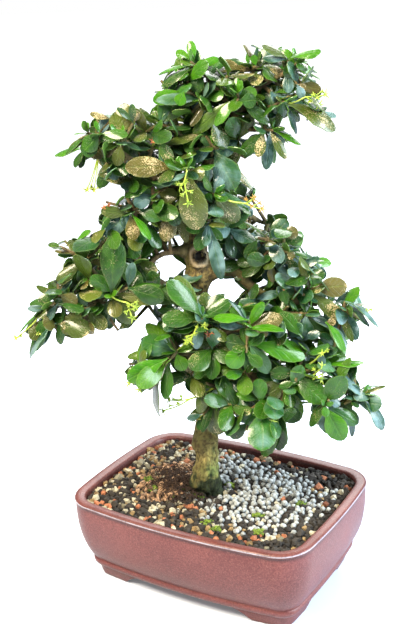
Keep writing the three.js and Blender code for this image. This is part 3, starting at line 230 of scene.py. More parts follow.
class Wiring:
    """Short ways to add nodes to a tree and join them."""

    def __init__(self, tree):
        self.tree = tree

    def plug(self, node, sockets):
        """Links what is another node's output and sets what is a value. A colour has three numbers."""
        for key, value in sockets.items():
            socket = node.inputs[key]
            if isinstance(value, bpy.types.NodeSocket):
                self.tree.links.new(value, socket)
            else:
                socket.default_value = (*value, 1) if socket.type == "RGBA" else value
        return node

    def add(self, kind, sockets=None, **settings):
        made = self.tree.nodes.new("ShaderNode" + kind)
        for name, value in settings.items():
            setattr(made, name, value)
        return self.plug(made, sockets or {})

    def math(self, operation, *values, clamp=False):
        return self.add("Math", dict(enumerate(values)), operation=operation, use_clamp=clamp).outputs[0]

    def times(self, first, second):
        return self.math("MULTIPLY", first, second)

    def ranged(self, value, low, high, to_low=0.0, to_high=1.0):
        """A value brought from one range to another, and kept inside it."""
        sockets = {"Value": value, "From Min": low, "From Max": high, "To Min": to_low, "To Max": to_high}
        return self.add("MapRange", sockets).outputs["Result"]

    def blend(self, share, low, high):
        """A colour between two, by a share from 0 to 1."""
        return self.add("Mix", {0: share, 6: low, 7: high}, data_type="RGBA").outputs[2]

    def layered(self, colour, *layers):
        """Colours laid over one another, each with its share."""
        for share, over in layers:
            colour = self.blend(share, colour, over)
        return colour


class Finish(Wiring):
    """A material with its shader, whose even values are set as it is made."""

    def __init__(self, name, **even):
        self.material = bpy.data.materials.new(name)
        self.material.use_nodes = True
        super().__init__(self.material.node_tree)
        self.shader = self.tree.nodes["Principled BSDF"]
        self.set_shader(even)
        self.coordinates = self.add("TexCoord").outputs
        self.at = self.coordinates["Object"]
        self.height = self.add("SeparateXYZ", {0: self.at}).outputs["Z"]

    def set_shader(self, sockets):
        self.plug(self.shader, {name.replace("_", " "): value for name, value in sockets.items()})

    def mark(self, name):
        """A number that the mesh carries for each of its points."""
        return self.add("Attribute", attribute_name=name).outputs["Fac"]

    def noise(self, scale, detail, at=None, **more):
        sockets = {"Vector": at or self.at, "Scale": scale, "Detail": detail, **more}
        return self.add("TexNoise", sockets).outputs["Fac"]

    def group(self, tree, **sockets):
        """Places a node group, with this finish's own values."""
        return self.plug(self.add("Group", node_tree=tree), {"Vector": self.at, **sockets}).outputs

    def mottled(self, scale, spread, low, high, **more):
        """Patches of two shades: the outputs Color and Mask."""
        return self.group(mottle, Scale=scale, Spread=spread, Low=low, High=high, **more)

    def done(self, colour, relief, strength, depth, **sockets):
        """Plugs in the colour, the relief and anything else that varies."""
        bump = self.add("Bump", {"Height": relief, "Strength": strength, "Distance": depth})
        self.set_shader({"Base_Color": colour, "Normal": bump.outputs["Normal"], **sockets})


def group_of(name, inputs, outputs):
    """An empty node group with named sockets: its wiring, what it is given and what it puts out."""
    tree = bpy.data.node_groups.new(name, "ShaderNodeTree")
    for direction, sockets in (("INPUT", inputs), ("OUTPUT", outputs)):
        for socket, kind in sockets.items():
            tree.interface.new_socket(name=socket, in_out=direction, socket_type="NodeSocket" + kind)
    return Wiring(tree), tree.nodes.new("NodeGroupInput").outputs, tree.nodes.new("NodeGroupOutput")


print("node helpers", Wiring.__name__, "and", Finish.__name__)

# %% [markdown]
# ## Light and floor
# The tree was photographed on white with light from all round. A bright even world does most of that. A warm
# panel above the front gives the leaves cream highlights, and a cool one at the side a bluish sheen; the leaf
# finish paints more of both into the leaves' colour. The floor is pale and plain, and a painted glow that
# only the camera sees brings it up to white away from the pot, as the background of such a picture is, so
# that only a soft shadow shows.

# %% Stage
PANELS = [  # name, place in the tree's axes (mm), side (m), power (W), colour
    ("key", (-480, -520, 1080), 0.5, 46, (1.0, 0.87, 0.66)),
    ("side", (980, -300, 620), 0.8, 44, (0.8, 0.91, 1.0)),
    ("rim", (200, 900, 900), 0.9, 20, (1.0, 1.0, 1.0)),
]
AIM = tree_point(0, 0, 210)
SKY_LIGHT = 0.4  # what the even white round the tree adds to its light

for name, place, side, power, colour in PANELS:
    panel = fresh(bpy.ops.object.light_add, type="AREA")
    panel.name = name
    panel.data.size = side
    panel.data.energy = power
    panel.data.color = colour
    at = tree_point(*place)
    panel.location = placed(at)[0]
    panel.rotation_euler = (at - AIM).to_track_quat("Z", "Y").to_euler()

world = bpy.data.worlds.new("studio")
world.use_nodes = True
sky = Wiring(world.node_tree)
seen = sky.add("LightPath").outputs["Is Camera Ray"]
sky.plug(sky.tree.nodes["Background"], {"Color": (1, 1, 1), "Strength": sky.ranged(seen, 0, 1, SKY_LIGHT, 1)})
bpy.context.scene.world = world
bpy.context.scene.view_settings.view_transform = "Standard"

floor = fresh(bpy.ops.mesh.primitive_plane_add, size=60, location=(0, 0, POT_MIDDLE.z))
floor.name = "floor"
print("panels", [row[0] for row in PANELS])

# %% [markdown]
# ## Effects that several finishes share
# Glaze, bark, grains and leaves all vary in two ways: patches of a lighter and a darker shade, and a
# fine pebbled relief that breaks up the shine. Each is a node group, made once here and placed in the
# finishes with its own scale and colours.

# %% Shared groups
inside, given, out = group_of(
    "mottle",
    {"Vector": "Vector", "Scale": "Float", "Low": "Color", "High": "Color", "Spread": "Float"},
    {"Color": "Color", "Mask": "Float"},
)
patches = inside.add("TexNoise", {"Vector": given["Vector"], "Scale": given["Scale"], "Detail": 4.0,
                                  "Roughness": 0.62})
edges = [inside.math(sign, 0.5, given["Spread"]) for sign in ("SUBTRACT", "ADD")]
mask = inside.ranged(patches.outputs["Fac"], *edges)
inside.plug(out, {"Color": inside.blend(mask, given["Low"], given["High"]), "Mask": mask})
mottle = inside.tree

inside, given, out = group_of("pebble", {"Vector": "Vector", "Scale": "Float"}, {"Height": "Float"})
cells = inside.add("TexVoronoi", {"Vector": given["Vector"], "Scale": given["Scale"], "Randomness": 0.9},
                   feature="SMOOTH_F1")
inside.plug(out, {"Height": inside.math("SUBTRACT", 1.0, cells.outputs["Distance"])})
pebble = inside.tree
print("groups", mottle.name, pebble.name)

# %% Floor finish
pale_floor = Finish("pale floor", Roughness=0.9, Specular_IOR_Level=0.1, Emission_Color=(1, 1, 1))
from_pot = pale_floor.add("Mapping", {"Vector": pale_floor.at, "Location": -POT_MIDDLE}).outputs["Vector"]
away = pale_floor.add("VectorMath", {0: from_pot}, operation="LENGTH").outputs["Value"]
# Painted light: the floor glows for the camera only, dim next to the pot and up to white further away.
painted_glow = pale_floor.times(pale_floor.ranged(away, 0.12, 0.38, 0.14, 0.97),
                       pale_floor.add("LightPath").outputs["Is Camera Ray"])
tint = pale_floor.mottled(3.0, 0.2, (0.5, 0.56, 0.68), (0.54, 0.6, 0.72))
pale_floor.set_shader({"Base_Color": tint["Color"], "Emission_Strength": painted_glow})
floor.data.materials.append(pale_floor.material)
print("floor", len(pale_floor.tree.nodes), "nodes")

# %% [markdown]
# ## The pot
# The pot is one piece of stoneware: a rounded rectangle with sides that bow out a little, a flat lip and
# four low feet. By hand this is quick with insets. The lip's outline is drawn once, as a plane with its
# corners bevelled. Each inset then makes the next ring of the outside, lower and further in, down to the
# underside. The open edge is filled again, and more insets climb over the lip and down the inside. An
# inset keeps the same distance all the way round, as a potter's template does.

# %% The pot's profile
POT_HALF_LENGTH = 110
POT_HALF_WIDTH = 79
POT_CORNER_RADIUS = 29.3
LONG_SIDE_BOW = 5
SHORT_SIDE_BOW = 2
LIP_HEIGHT = 73.5
# Height above the ground, and how far in from the lip's outer edge
OUTSIDE = [
    (73.5, 0), (72.2, 0.25), (71.4, 0.95), (70.4, 1.05), (68, 0.75), (60, 0.95), (52, 1.4), (44, 2.6),
    (36, 4.4), (29.5, 6.7), (24, 9.2), (20.6, 11.3), (19, 12.5), (18.2, 12.7), (17.4, 12.2), (16, 11.9),
    (14, 12.3), (12, 13.7), (10.5, 15.6),
]
OVER_THE_LIP = [(74.5, 0.45), (75.1, 1.6), (75.2, 3.2), (74.9, 6.2), (74.5, 8), (73.9, 8.9), (72.6, 9.5)]
DOWN_THE_INSIDE = [(70.5, 9.8), (60, 11.2), (42, 13.4), (28, 17), (20, 21), (17.5, 25)]


def rounded_plane(height, corner_steps=8, side_cuts=9):
    """The lip's outline as one face, in edit mode and selected."""
    piece = fresh(bpy.ops.mesh.primitive_plane_add, size=1, location=POT_MIDDLE + UP * height * MM)
    bpy.ops.object.mode_set(mode="EDIT")
    bpy.ops.transform.resize(value=(2 * POT_HALF_LENGTH * MM, 2 * POT_HALF_WIDTH * MM, 1))
    bpy.ops.mesh.bevel(offset=POT_CORNER_RADIUS * MM, segments=corner_steps, affect="VERTICES")
    shape = bmesh.from_edit_mesh(piece.data)
    for edge in shape.edges:
        edge.select_set(edge.calc_length() > POT_CORNER_RADIUS * MM)
    bpy.ops.mesh.subdivide(number_cuts=side_cuts, ngon=True)
    shape = bmesh.from_edit_mesh(piece.data)
    for vertex in shape.verts:
        for axis, half, other_half, bow in ((0, POT_HALF_LENGTH, POT_HALF_WIDTH, LONG_SIDE_BOW),
                                            (1, POT_HALF_WIDTH, POT_HALF_LENGTH, SHORT_SIDE_BOW)):
            reach = (half - POT_CORNER_RADIUS) * MM
            along, across = vertex.co[axis], vertex.co[1 - axis]
            if abs(abs(across) - other_half * MM) < 1e-6 and abs(along) < reach:
                vertex.co[1 - axis] += math.copysign(bow * MM * (1 - (along / reach) ** 2), across)
    bmesh.update_edit_mesh(piece.data)
    bpy.ops.mesh.select_all(action="SELECT")
    return piece


def rings(piece, levels):
    """A ring of faces on the selected face for each step of a profile."""
    for before, level in zip(levels, levels[1:]):
        shape = bmesh.from_edit_mesh(piece.data)
        facing = next(face for face in shape.faces if face.select).normal.z
        inward = level[1] - before[1]
        rise = (level[0] - before[0]) * (1 if facing > 0 else -1)
        bpy.ops.mesh.inset(thickness=max(inward, 0) * MM, depth=rise * MM)
        if inward < 0:
            grown = [(half - level[1]) / (half - before[1]) for half in (POT_HALF_LENGTH, POT_HALF_WIDTH)]
            bpy.ops.transform.resize(value=(*grown, 1))


def fill_open_edge():
    """Puts a face over the opening and leaves it selected."""
    bpy.ops.mesh.select_all(action="DESELECT")
    bpy.ops.mesh.select_mode(type="EDGE")
    bpy.ops.mesh.select_non_manifold()
    bpy.ops.mesh.edge_face_add()
    bpy.ops.mesh.select_mode(type="FACE")


print("profile", len(OUTSIDE), "steps outside and", len(OVER_THE_LIP + DOWN_THE_INSIDE), "inside")

# %% Raise the pot ring by ring
pot = rounded_plane(LIP_HEIGHT)
rings(pot, OUTSIDE)
fill_open_edge()
rings(pot, [OUTSIDE[0], *OVER_THE_LIP, *DOWN_THE_INSIDE])
face_out()
bpy.ops.object.mode_set(mode="OBJECT")
print("pot body", len(pot.data.polygons), "faces")

# %% [markdown]
# ## Feet and drain holes
# Each foot is an L round its corner whose arms reach further the higher they go, which gives the sweep
# of a cloud foot. One is raised from its footprint by extruding it level by level, and copied to the
# other corners by mirroring. The feet are joined to the body and the two drain holes bored with Boolean
# modifiers, as the potter would with slip and a hole cutter.

# %% Feet
FOOT = [  # height, inset from the lip, arm along the long side, arm along the short side
    (0, 19.4, 18.5, 15.5), (0.8, 18.6, 20, 17), (3, 17.8, 23, 20), (5.4, 17.2, 25.6, 22.2),
    (7.5, 16.6, 29, 25), (9.2, 16.2, 32.5, 28), (10.2, 16, 37, 32), (13, 15.9, 44, 38),
]
FOOT_THICKNESS = 9


def bowed_out(bow, along, span):
    """How far a bowed side stands out, so far along its span."""
    return bow * 4 * along * (span - along) / span**2


def foot_ring(height, inset, long_arm, short_arm):
    """The foot's section at a height, for the corner at +X +Y."""
    a, b = POT_HALF_LENGTH - inset, POT_HALF_WIDTH - inset
    r = max(POT_CORNER_RADIUS - inset, 4)
    long_bow = bowed_out(LONG_SIDE_BOW, long_arm, 2 * (a - r))
    short_bow = bowed_out(SHORT_SIDE_BOW, short_arm, 2 * (b - r))
    turns = [step * math.pi / 8 for step in range(5)]
    ring = [(a + short_bow, b - r - short_arm)]
    ring += [(a - r + r * math.cos(turn), b - r + r * math.sin(turn)) for turn in turns]
    ring += [
        (a - r - long_arm, b + long_bow), (a - r - long_arm, b - FOOT_THICKNESS),
        (a - FOOT_THICKNESS, b - FOOT_THICKNESS), (a - FOOT_THICKNESS, b - r - short_arm),
    ]
    return placed([(x, y, height) for x, y in ring])


foot = fresh(bpy.ops.mesh.primitive_circle_add, vertices=10, fill_type="NGON")
with edit_mode():
    bpy.ops.mesh.select_mode(type="FACE")
    bpy.ops.mesh.select_all(action="SELECT")
    for index, level in enumerate(FOOT):
        if index:
            bpy.ops.mesh.extrude_region_move()
        shape = bmesh.from_edit_mesh(foot.data)
        end_face = next(face for face in shape.faces if face.select)
        for vertex, point in zip(end_face.verts, foot_ring(*level)):
            vertex.co = point
        bmesh.update_edit_mesh(foot.data)
    face_out()
feet = [foot]
to_middle = Matrix.Translation(POT_MIDDLE)
for across, along in ((-1, 1), (-1, -1), (1, -1)):
    copy = foot.copy()
    copy.data = foot.data.copy()
    bpy.context.collection.objects.link(copy)
    copy.data.transform(to_middle @ Matrix.Diagonal((across, along, 1, 1)) @ to_middle.inverted())
    if across * along < 0:
        copy.data.flip_normals()
    feet.append(copy)
print("foot", triangles(foot), "triangles")

# %% Join the feet and bore the drain holes
DRAIN_OFFSET = 46
DRAIN_RADIUS = 8
for piece in feet:
    cut_by(pot, "UNION", piece)
for side in (-1, 1):
    centre = POT_MIDDLE + Vector((side * DRAIN_OFFSET, 0, 14)) * MM
    drill = fresh(bpy.ops.mesh.primitive_cylinder_add, vertices=32, radius=DRAIN_RADIUS * MM, depth=0.03,
                  location=centre)
    cut_by(pot, "DIFFERENCE", drill)
print("pot", triangles(pot), "triangles")

# %% [markdown]
# ## Glaze
# The glaze is a satin red-brown with a fine grain. A band just under the lip is darkened as painted shade,
# and the lip's outer edge carries a painted highlight, a bluish-white line. Height above the ground comes
# from the Object coordinates, so each of these bands can be found without an image texture.

# %% Glaze finish
glaze = Finish("glaze", IOR=1.45, Coat_Roughness=0.14, Specular_IOR_Level=0.4)
body = glaze.mottled(22.0, 0.22, (0.095, 0.021, 0.02), (0.15, 0.042, 0.038))
rim = glaze.mottled(60.0, 0.25, (0.06, 0.014, 0.013), (0.12, 0.035, 0.03))
# Painted shade: a dark band just under the lip, where the undercut lies in shade.
painted_shade_under_lip = glaze.times(glaze.ranged(glaze.height, 0.0685, 0.071), glaze.ranged(glaze.height, 0.0728, 0.0722))
flat = glaze.add("VectorMath", {0: glaze.at, 1: (1, 1, 0)}, operation="MULTIPLY").outputs["Vector"]
faces_out = glaze.add("VectorMath", {0: flat, 1: glaze.coordinates["Normal"]}, operation="DOT_PRODUCT")
# Painted highlight: a bluish-white line along the lip's outer edge, on faces that look outwards; the coat is
# glossier there too.
painted_highlight_band = glaze.times(glaze.ranged(glaze.height, 0.0731, 0.0734), glaze.ranged(glaze.height, 0.0743, 0.0740))
painted_highlight_band = glaze.times(painted_highlight_band, glaze.ranged(faces_out.outputs["Value"], 0.0, 0.01))
painted_highlight_band = glaze.times(painted_highlight_band, glaze.ranged(rim["Mask"], 0, 1, 0.25, 0.9))
speckles = glaze.add("TexVoronoi", {"Vector": glaze.at, "Scale": 620.0}, feature="F1")
dots = glaze.ranged(speckles.outputs["Distance"], 0.16, 0.3, 1.0, 0.0)
spread = glaze.noise(260.0, 2.0)
fine = glaze.noise(760.0, 3.0, Roughness=0.6)
colour = glaze.layered(
    body["Color"],
    (glaze.ranged(glaze.height, 0.0705, 0.074), rim["Color"]),
    # painted shade under the lip
    (glaze.times(painted_shade_under_lip, 0.85), (0.05, 0.012, 0.012)),
    # painted highlight along the lip's outer edge
    (painted_highlight_band, (0.4, 0.42, 0.5)),
    (glaze.times(dots, glaze.ranged(spread, 0.5, 0.62, 0.0, 0.5)), (0.05, 0.014, 0.012)),
    (glaze.times(dots, glaze.ranged(spread, 0.5, 0.38, 0.0, 0.25)), (0.4, 0.22, 0.18)),
    (glaze.ranged(fine, 0.5, 0.32, 0.0, 0.5), (0.055, 0.012, 0.01)),
    (glaze.ranged(fine, 0.52, 0.68, 0.0, 0.25), (0.3, 0.13, 0.1)),
)
glaze.done(colour, fine, 0.5, 0.0005, Roughness=glaze.ranged(body["Mask"], 0, 1, 0.36, 0.5),
           Coat_Weight=glaze.ranged(painted_highlight_band, 0, 1, 0.12, 0.9))
settle(pot, "glazed_pot", glaze, "glazed_pot", ["pot"], smooth=40)
print("glaze", len(glaze.tree.nodes), "nodes")

# %% [markdown]
# ## The bed of soil
# A bonsai grows in grit, not in garden soil. Under the loose grains lies one solid bed. Its top is a
# grid lifted by noise, with a low mound of peat to the left of the trunk. Extruded downwards it is a
# block, and the pot's own inside, drawn once more a hair smaller, cuts the block to the pot with a
# Boolean.

# %% Soil bed
SOIL_LEVEL = 67.5
MOUND_MIDDLE = (-46, -3)
MOUND_REACH = (25, 33)
MOUND_HEIGHT = 5
WALL_GAP = 0.35


def mound_lift(x, y):
    across = (x - MOUND_MIDDLE[0]) / MOUND_REACH[0]
    along = (y - MOUND_MIDDLE[1]) / MOUND_REACH[1]
    return MOUND_HEIGHT * math.exp(-(across**2) - along**2)


def ground(x, y):
    """Height of the bed's top at a point of the pot, in millimetres."""
    lumps = noise.noise(Vector((x, y, 0)) / 6) * 0.9 + noise.noise(Vector((x, y, 9)) / 2.2) * 0.5
    return SOIL_LEVEL + 0.8 + mound_lift(x, y) + lumps


def lifted(x, y, z):
    """A point of the unit grid, spread over the pot and laid on the ground."""
    x, y = x * 2 * POT_HALF_LENGTH, y * 2 * POT_HALF_WIDTH
    return placed((x, y, ground(x, y)))[0]


bed = fresh(bpy.ops.mesh.primitive_grid_add, x_subdivisions=110, y_subdivisions=80, size=1)
with edit_mode():
    move_points(bed, lifted)
    bpy.ops.mesh.select_all(action="SELECT")
    bpy.ops.mesh.extrude_region_move()
    bpy.ops.transform.resize(value=(1, 1, 0), center_override=POT_MIDDLE)
    face_out()

top = LIP_HEIGHT + 20
room = rounded_plane(top)
below = [(height + WALL_GAP, inset + WALL_GAP) for height, inset in DOWN_THE_INSIDE]
rings(room, [(top, 0), (top - 0.1, below[0][1]), *below])
fill_open_edge()
face_out()
bpy.ops.object.mode_set(mode="OBJECT")
cut_by(bed, "INTERSECT", room)
print("soil bed", triangles(bed), "triangles")

# %% [markdown]
# ## Finishes of the ground
# The grains are of four kinds, each a dry matt stone with its own two shades: white pumice, orange fired
# clay, tan gravel and nearly black lava. The fertiliser pellets are grey-white and smoother, and peat is
# a dark fibrous brown. They differ only in numbers, so one function makes them all. The attribute
# "shade" makes each grain a little lighter or darker than the next.

# %% Ground finishes


def mineral(name, low, high, scale=420.0, roughness=0.9, relief=0.0007):
    """A matt mineral with two shades, varied from grain to grain."""
    made = Finish(name, Roughness=roughness, IOR=1.45)
    body = made.mottled(scale, 0.22, low, high)["Color"]
    darker = tuple(0.55 * value for value in low)
    varied = made.blend(made.ranged(made.mark("shade"), 0.45, 0.0), body, darker)
    made.done(varied, made.group(pebble, Scale=scale * 2.6)["Height"], 0.5, relief)
    return made


PUMICE = mineral("pumice", (0.19, 0.17, 0.11), (0.46, 0.43, 0.33))
CLAY = mineral("fired clay", (0.16, 0.05, 0.022), (0.38, 0.15, 0.07))
GRAVEL = mineral("tan gravel", (0.08, 0.05, 0.02), (0.29, 0.2, 0.09))
LAVA = mineral("lava", (0.007, 0.006, 0.005), (0.034, 0.028, 0.022))
PEAT = mineral("peat", (0.014, 0.008, 0.005), (0.08, 0.042, 0.022), scale=260.0)
FIBRE = mineral("peat fibre", (0.04, 0.02, 0.012), (0.5, 0.31, 0.18), scale=330.0)
PELLET = mineral("pellet", (0.1, 0.115, 0.125), (0.4, 0.42, 0.405), roughness=0.75, relief=0.0006)
MOSS = mineral("moss", (0.035, 0.075, 0.008), (0.17, 0.24, 0.02), scale=900.0)
settle(bed, "soil_bed", PEAT, "soil", ["soil"], smooth=60)
print("ground finishes made")

# %% [markdown]
# ## Copies with a mesh of their own
# Hundreds of grains or leaves as separate objects would be slow to handle. So copies are written side by
# side into one mesh: the pattern's faces and UV map again and again, each time with the points of the
# next copy. Numbers that differ from copy to copy go along as attributes.

# %% Copying a pattern


def read_all(items, field, width, kind):
    """One field of all of a mesh's points, corners or faces, as an array."""
    values = np.zeros(width * len(items), kind)
    items.foreach_get(field, values)
    return values


def points_of(pattern):
    return read_all(pattern.data.vertices, "co", 3, np.float32).reshape(-1, 3).astype(float)


def copies(name, pattern, shapes, marks):
    """One object of many copies. Shapes are point arrays in millimetres, marks are numbers per copy."""
    source = pattern.data
    size, count, loops = len(source.vertices), len(shapes), len(source.loops)
    corners = read_all(source.loops, "vertex_index", 1, np.int32)
    starts = read_all(source.polygons, "loop_start", 1, np.int32)
    mesh = bpy.data.meshes.new(name)
    mesh.vertices.add(size * count)
    mesh.vertices.foreach_set("co", placed(np.concatenate(shapes)).ravel())
    mesh.loops.add(loops * count)
    mesh.loops.foreach_set("vertex_index", np.concatenate([corners + size * k for k in range(count)]))
    mesh.polygons.add(len(starts) * count)
    mesh.polygons.foreach_set("loop_start", np.concatenate([starts + loops * k for k in range(count)]))
    if source.uv_layers:
        flat = read_all(source.uv_layers[0].data, "uv", 2, np.float32)
        mesh.uv_layers.new(name="UVMap").data.foreach_set("uv", np.tile(flat, count))
    piece = bpy.data.objects.new(name, mesh)
    for mark, values in marks.items():
        mark_points(piece, mark, np.repeat(values, size))
    mesh.update(calc_edges=True)
    mesh.validate()
    bpy.context.collection.objects.link(piece)
    return piece


print("a copy keeps", "places, faces, UV map and marks")

# %% [markdown]
# ## Grains
# A broken stone has a few flat faces. A cube is subdivided, drawn halfway to a ball, its points pushed
# about, and the convex hull taken, which leaves just such a chunk. A pellet starts from an icosphere
# that is flattened and pushed about much less. Both have few faces, as they are copied by the hundred.

# %% Grain patterns
chunk = fresh(bpy.ops.mesh.primitive_cube_add, size=0.9)
with edit_mode():
    bpy.ops.mesh.subdivide(number_cuts=1)
    bpy.ops.transform.tosphere(value=0.55)
    bpy.ops.transform.vertex_random(offset=0.2, uniform=1, seed=3)
    bpy.ops.mesh.convex_hull()
bead = fresh(bpy.ops.mesh.primitive_ico_sphere_add, subdivisions=2, radius=0.5)
with edit_mode():
    bpy.ops.transform.resize(value=(1.08, 0.97, 0.9))
    bpy.ops.transform.vertex_random(offset=0.045, uniform=1, seed=5)
flat_chunk, flat_bead = points_of(chunk), points_of(bead)
print("grain", len(chunk.data.polygons), "faces, pellet", len(bead.data.polygons), "faces")

# %% [markdown]
# ## Scattering without overlaps
# Darts are thrown at the bed, and one that lands too near an earlier one is thrown away. What a dart
# becomes depends on where it landed: a pellet inside the drift that was poured to the right of the
# trunk, fewer towards its edge, a crumb of peat on the mound, and else a stone. Dark lava is commoner
# towards the right end of the pot and rarer at its far side.

# %% Scatter
TRUNK_FOOT = tree_point(-12, 1, 0)
DRIFT = [(-33, 9), (-21, -15), (-2, -31), (24, -40), (47, -43), (66, -39), (81, -24), (88, 1), (87, 27),
         (74, 43), (48, 53), (20, 60), (-9, 63), (-36, 61), (-43, 40)]
LIGHT_STONES = {"pumice": 0.2, "clay": 0.1, "gravel": 0.15}
THROWS = 22000
CELL = 8  # millimetres a side, for finding neighbours quickly


def depth_in_drift(x, y):
    """How far a point lies inside the drift's outline; negative outside."""
    return min(((bx - ax) * (y - ay) - (by - ay) * (x - ax)) / math.hypot(bx - ax, by - ay)
               for (ax, ay), (bx, by) in zip(DRIFT, DRIFT[1:] + DRIFT[:1]))


def depth_in_pot(x, y, inset=12.5):
    """How far a point lies inside the pot's wall."""
    radius = POT_CORNER_RADIUS - inset
    over = (abs(x) - (POT_HALF_LENGTH - inset - radius), abs(y) - (POT_HALF_WIDTH - inset - radius))
    bow = (LONG_SIDE_BOW if over[1] > over[0] else SHORT_SIDE_BOW) * 0.6
    return radius + bow - math.hypot(max(over[0], 0), max(over[1], 0)) - max(min(max(over), 0), -radius)


def from_trunk(x, y):
    return math.hypot(x - TRUNK_FOOT.x, y - TRUNK_FOOT.y)


def kept(value):
    """A value kept from 0 to 1."""
    return min(max(value, 0), 1)


def dart(x, y, chance):
    """What a dart becomes, and its size."""
    depth = depth_in_drift(x, y)
    if chance.random() < min(0.44 + depth / 26, 0.86) and depth > -15:
        return "pellet", chance.uniform(3.8, 5.2)
    if mound_lift(x, y) > 1.3 and chance.random() < 0.8:
        return "peat", chance.uniform(1.8, 4.6)
    right_end = kept((x + 5) / 60)
    far_side = kept((BACK.dot((x, y, 0)) - 25) / 40)
    lava = (0.55 + 1.6 * right_end) * (1 - 0.65 * far_side)
    kind = chance.choices([*LIGHT_STONES, "lava"], [*LIGHT_STONES.values(), lava])[0]
    return kind, chance.triangular(2.2, 5.8, 3.0)


chance = random.Random(11)
darts = {name: [] for name in ("pumice", "clay", "gravel", "lava", "peat", "pellet")}
grid = {}
for _ in range(THROWS):
    x = chance.uniform(-POT_HALF_LENGTH, POT_HALF_LENGTH)
    y = chance.uniform(-POT_HALF_WIDTH, POT_HALF_WIDTH)
    if depth_in_pot(x, y) < 0 or from_trunk(x, y) < 15.5:
        continue
    kind, size = dart(x, y, chance)
    cell = (int(x // CELL), int(y // CELL))
    near = [one for i in (-1, 0, 1) for j in (-1, 0, 1) for one in grid.get((cell[0] + i, cell[1] + j), [])]
    if all(math.hypot(x - ox, y - oy) >= 0.46 * (size + other) for ox, oy, other in near):
        grid.setdefault(cell, []).append((x, y, size))
        darts[kind].append((x, y, size))
print("grains", {kind: len(rows) for kind, rows in darts.items()})

# %% Lay the grains
HEAP_MIDDLE = tree_point(-28, -2, 0)
HEAP_REACH = 17
HEAP_HEIGHT = 9
PIECES = {
    "pumice": ("soil_pumice", PUMICE), "clay": ("soil_fired_clay", CLAY), "gravel": ("soil_gravel", GRAVEL),
    "lava": ("soil_lava", LAVA), "peat": ("peat_crumbs", FIBRE),
}


def tumbled(points, size, chance, stretch=0.3):
    """Pattern points at a size in millimetres, stretched and turned at random."""
    scale = [size * chance.uniform(1 - stretch, 1 + stretch) for axis in range(3)]
    turn = Matrix.Rotation(chance.uniform(0, 6.3), 3, Vector([chance.gauss(0, 1) for axis in range(3)]))
    return (points * scale) @ np.array(turn).T


def heaped(x, y, chance):
    """How high peat is piled above the bed: most against the trunk's left side."""
    away = math.hypot(x - HEAP_MIDDLE.x, y - HEAP_MIDDLE.y)
    return HEAP_HEIGHT * math.exp(-((away / HEAP_REACH) ** 2)) * chance.uniform(0.55, 1)


chance = random.Random(12)
for kind, (name, finish) in PIECES.items():
    shapes = []
    for x, y, size in darts[kind]:
        height = ground(x, y) + size * chance.uniform(0.12, 0.34)
        if kind == "peat":
            height += heaped(x, y, chance)
        shapes.append(tumbled(flat_chunk, size, chance) + (x, y, height))
    shade = [chance.random() for shape in shapes]
    settle(copies(name, chunk, shapes, {"shade": shade}), name, finish, "soil", ["soil"], smooth=12)
    print(name, len(shapes))

# %% [markdown]
# ## Pellets
# The drift is one bead deep at its edges and two in its middle. So every pellet that the scatter gave is
# laid on the bed, and above the middle of the drift a second, looser layer goes into the dips between
# them.

# %% Pellets
chance = random.Random(13)
shapes = []
for x, y, size in darts["pellet"]:
    place = (x, y, SOIL_LEVEL + mound_lift(x, y) * 0.5 + size * 0.42)
    shapes.append(tumbled(flat_bead, size, chance, 0.06) + place)
    if depth_in_drift(x, y) > 17 and chance.random() < 0.3:
        aside = chance.uniform(0, 6.3)
        place = (x + 3 * math.cos(aside), y + 3 * math.sin(aside), SOIL_LEVEL + size * 1.05)
        if from_trunk(*place[:2]) > 16:
            shapes.append(tumbled(flat_bead, size, chance, 0.06) + place)
pellets = copies("pellets", bead, shapes, {"shade": [0.3 + 0.7 * chance.random() for shape in shapes]})
settle(pellets, "fertiliser_pellets", PELLET, "pellets", ["pellets"], smooth=180)
print("pellets", len(shapes), triangles(pellets), "triangles")

# %% [markdown]
# ## Peat fibres and moss
# The mound is held together by short brown fibres that lie across each other, and small cushions of moss
# grow on it and on the grit near the front. The fibres are thin rods, each bent over a low arch. A
# cushion is a handful of tiny chunks set close together.

# %% Fibres
FIBRES = 620


def tapered(rows):
    """Tapered rods as one curve: rows of points (x, y, z, radius) in the pot's millimetres."""
    rods = fresh(bpy.ops.curve.primitive_bezier_curve_add)
    rods.data.bevel_depth = MM
    rods.data.use_fill_caps = True
    for index, row in enumerate(rows):
        spline = rods.data.splines[0] if index == 0 else rods.data.splines.new("BEZIER")
        spline.bezier_points.add(len(row) - len(spline.bezier_points))
        for point, (x, y, z, radius) in zip(spline.bezier_points, row):
            point.co = placed((x, y, z))[0]
            point.radius = radius
            point.handle_left_type = "AUTO"
            point.handle_right_type = "AUTO"
    return rods


def as_mesh(rods, round_steps, along_steps):
    """Turns tapered rods into a mesh with so many steps round and along."""
    rods.data.bevel_resolution = round_steps
    for spline in rods.data.splines:
        spline.resolution_u = along_steps
    alone(rods)
    bpy.ops.object.convert(target="MESH")
    return bpy.context.object


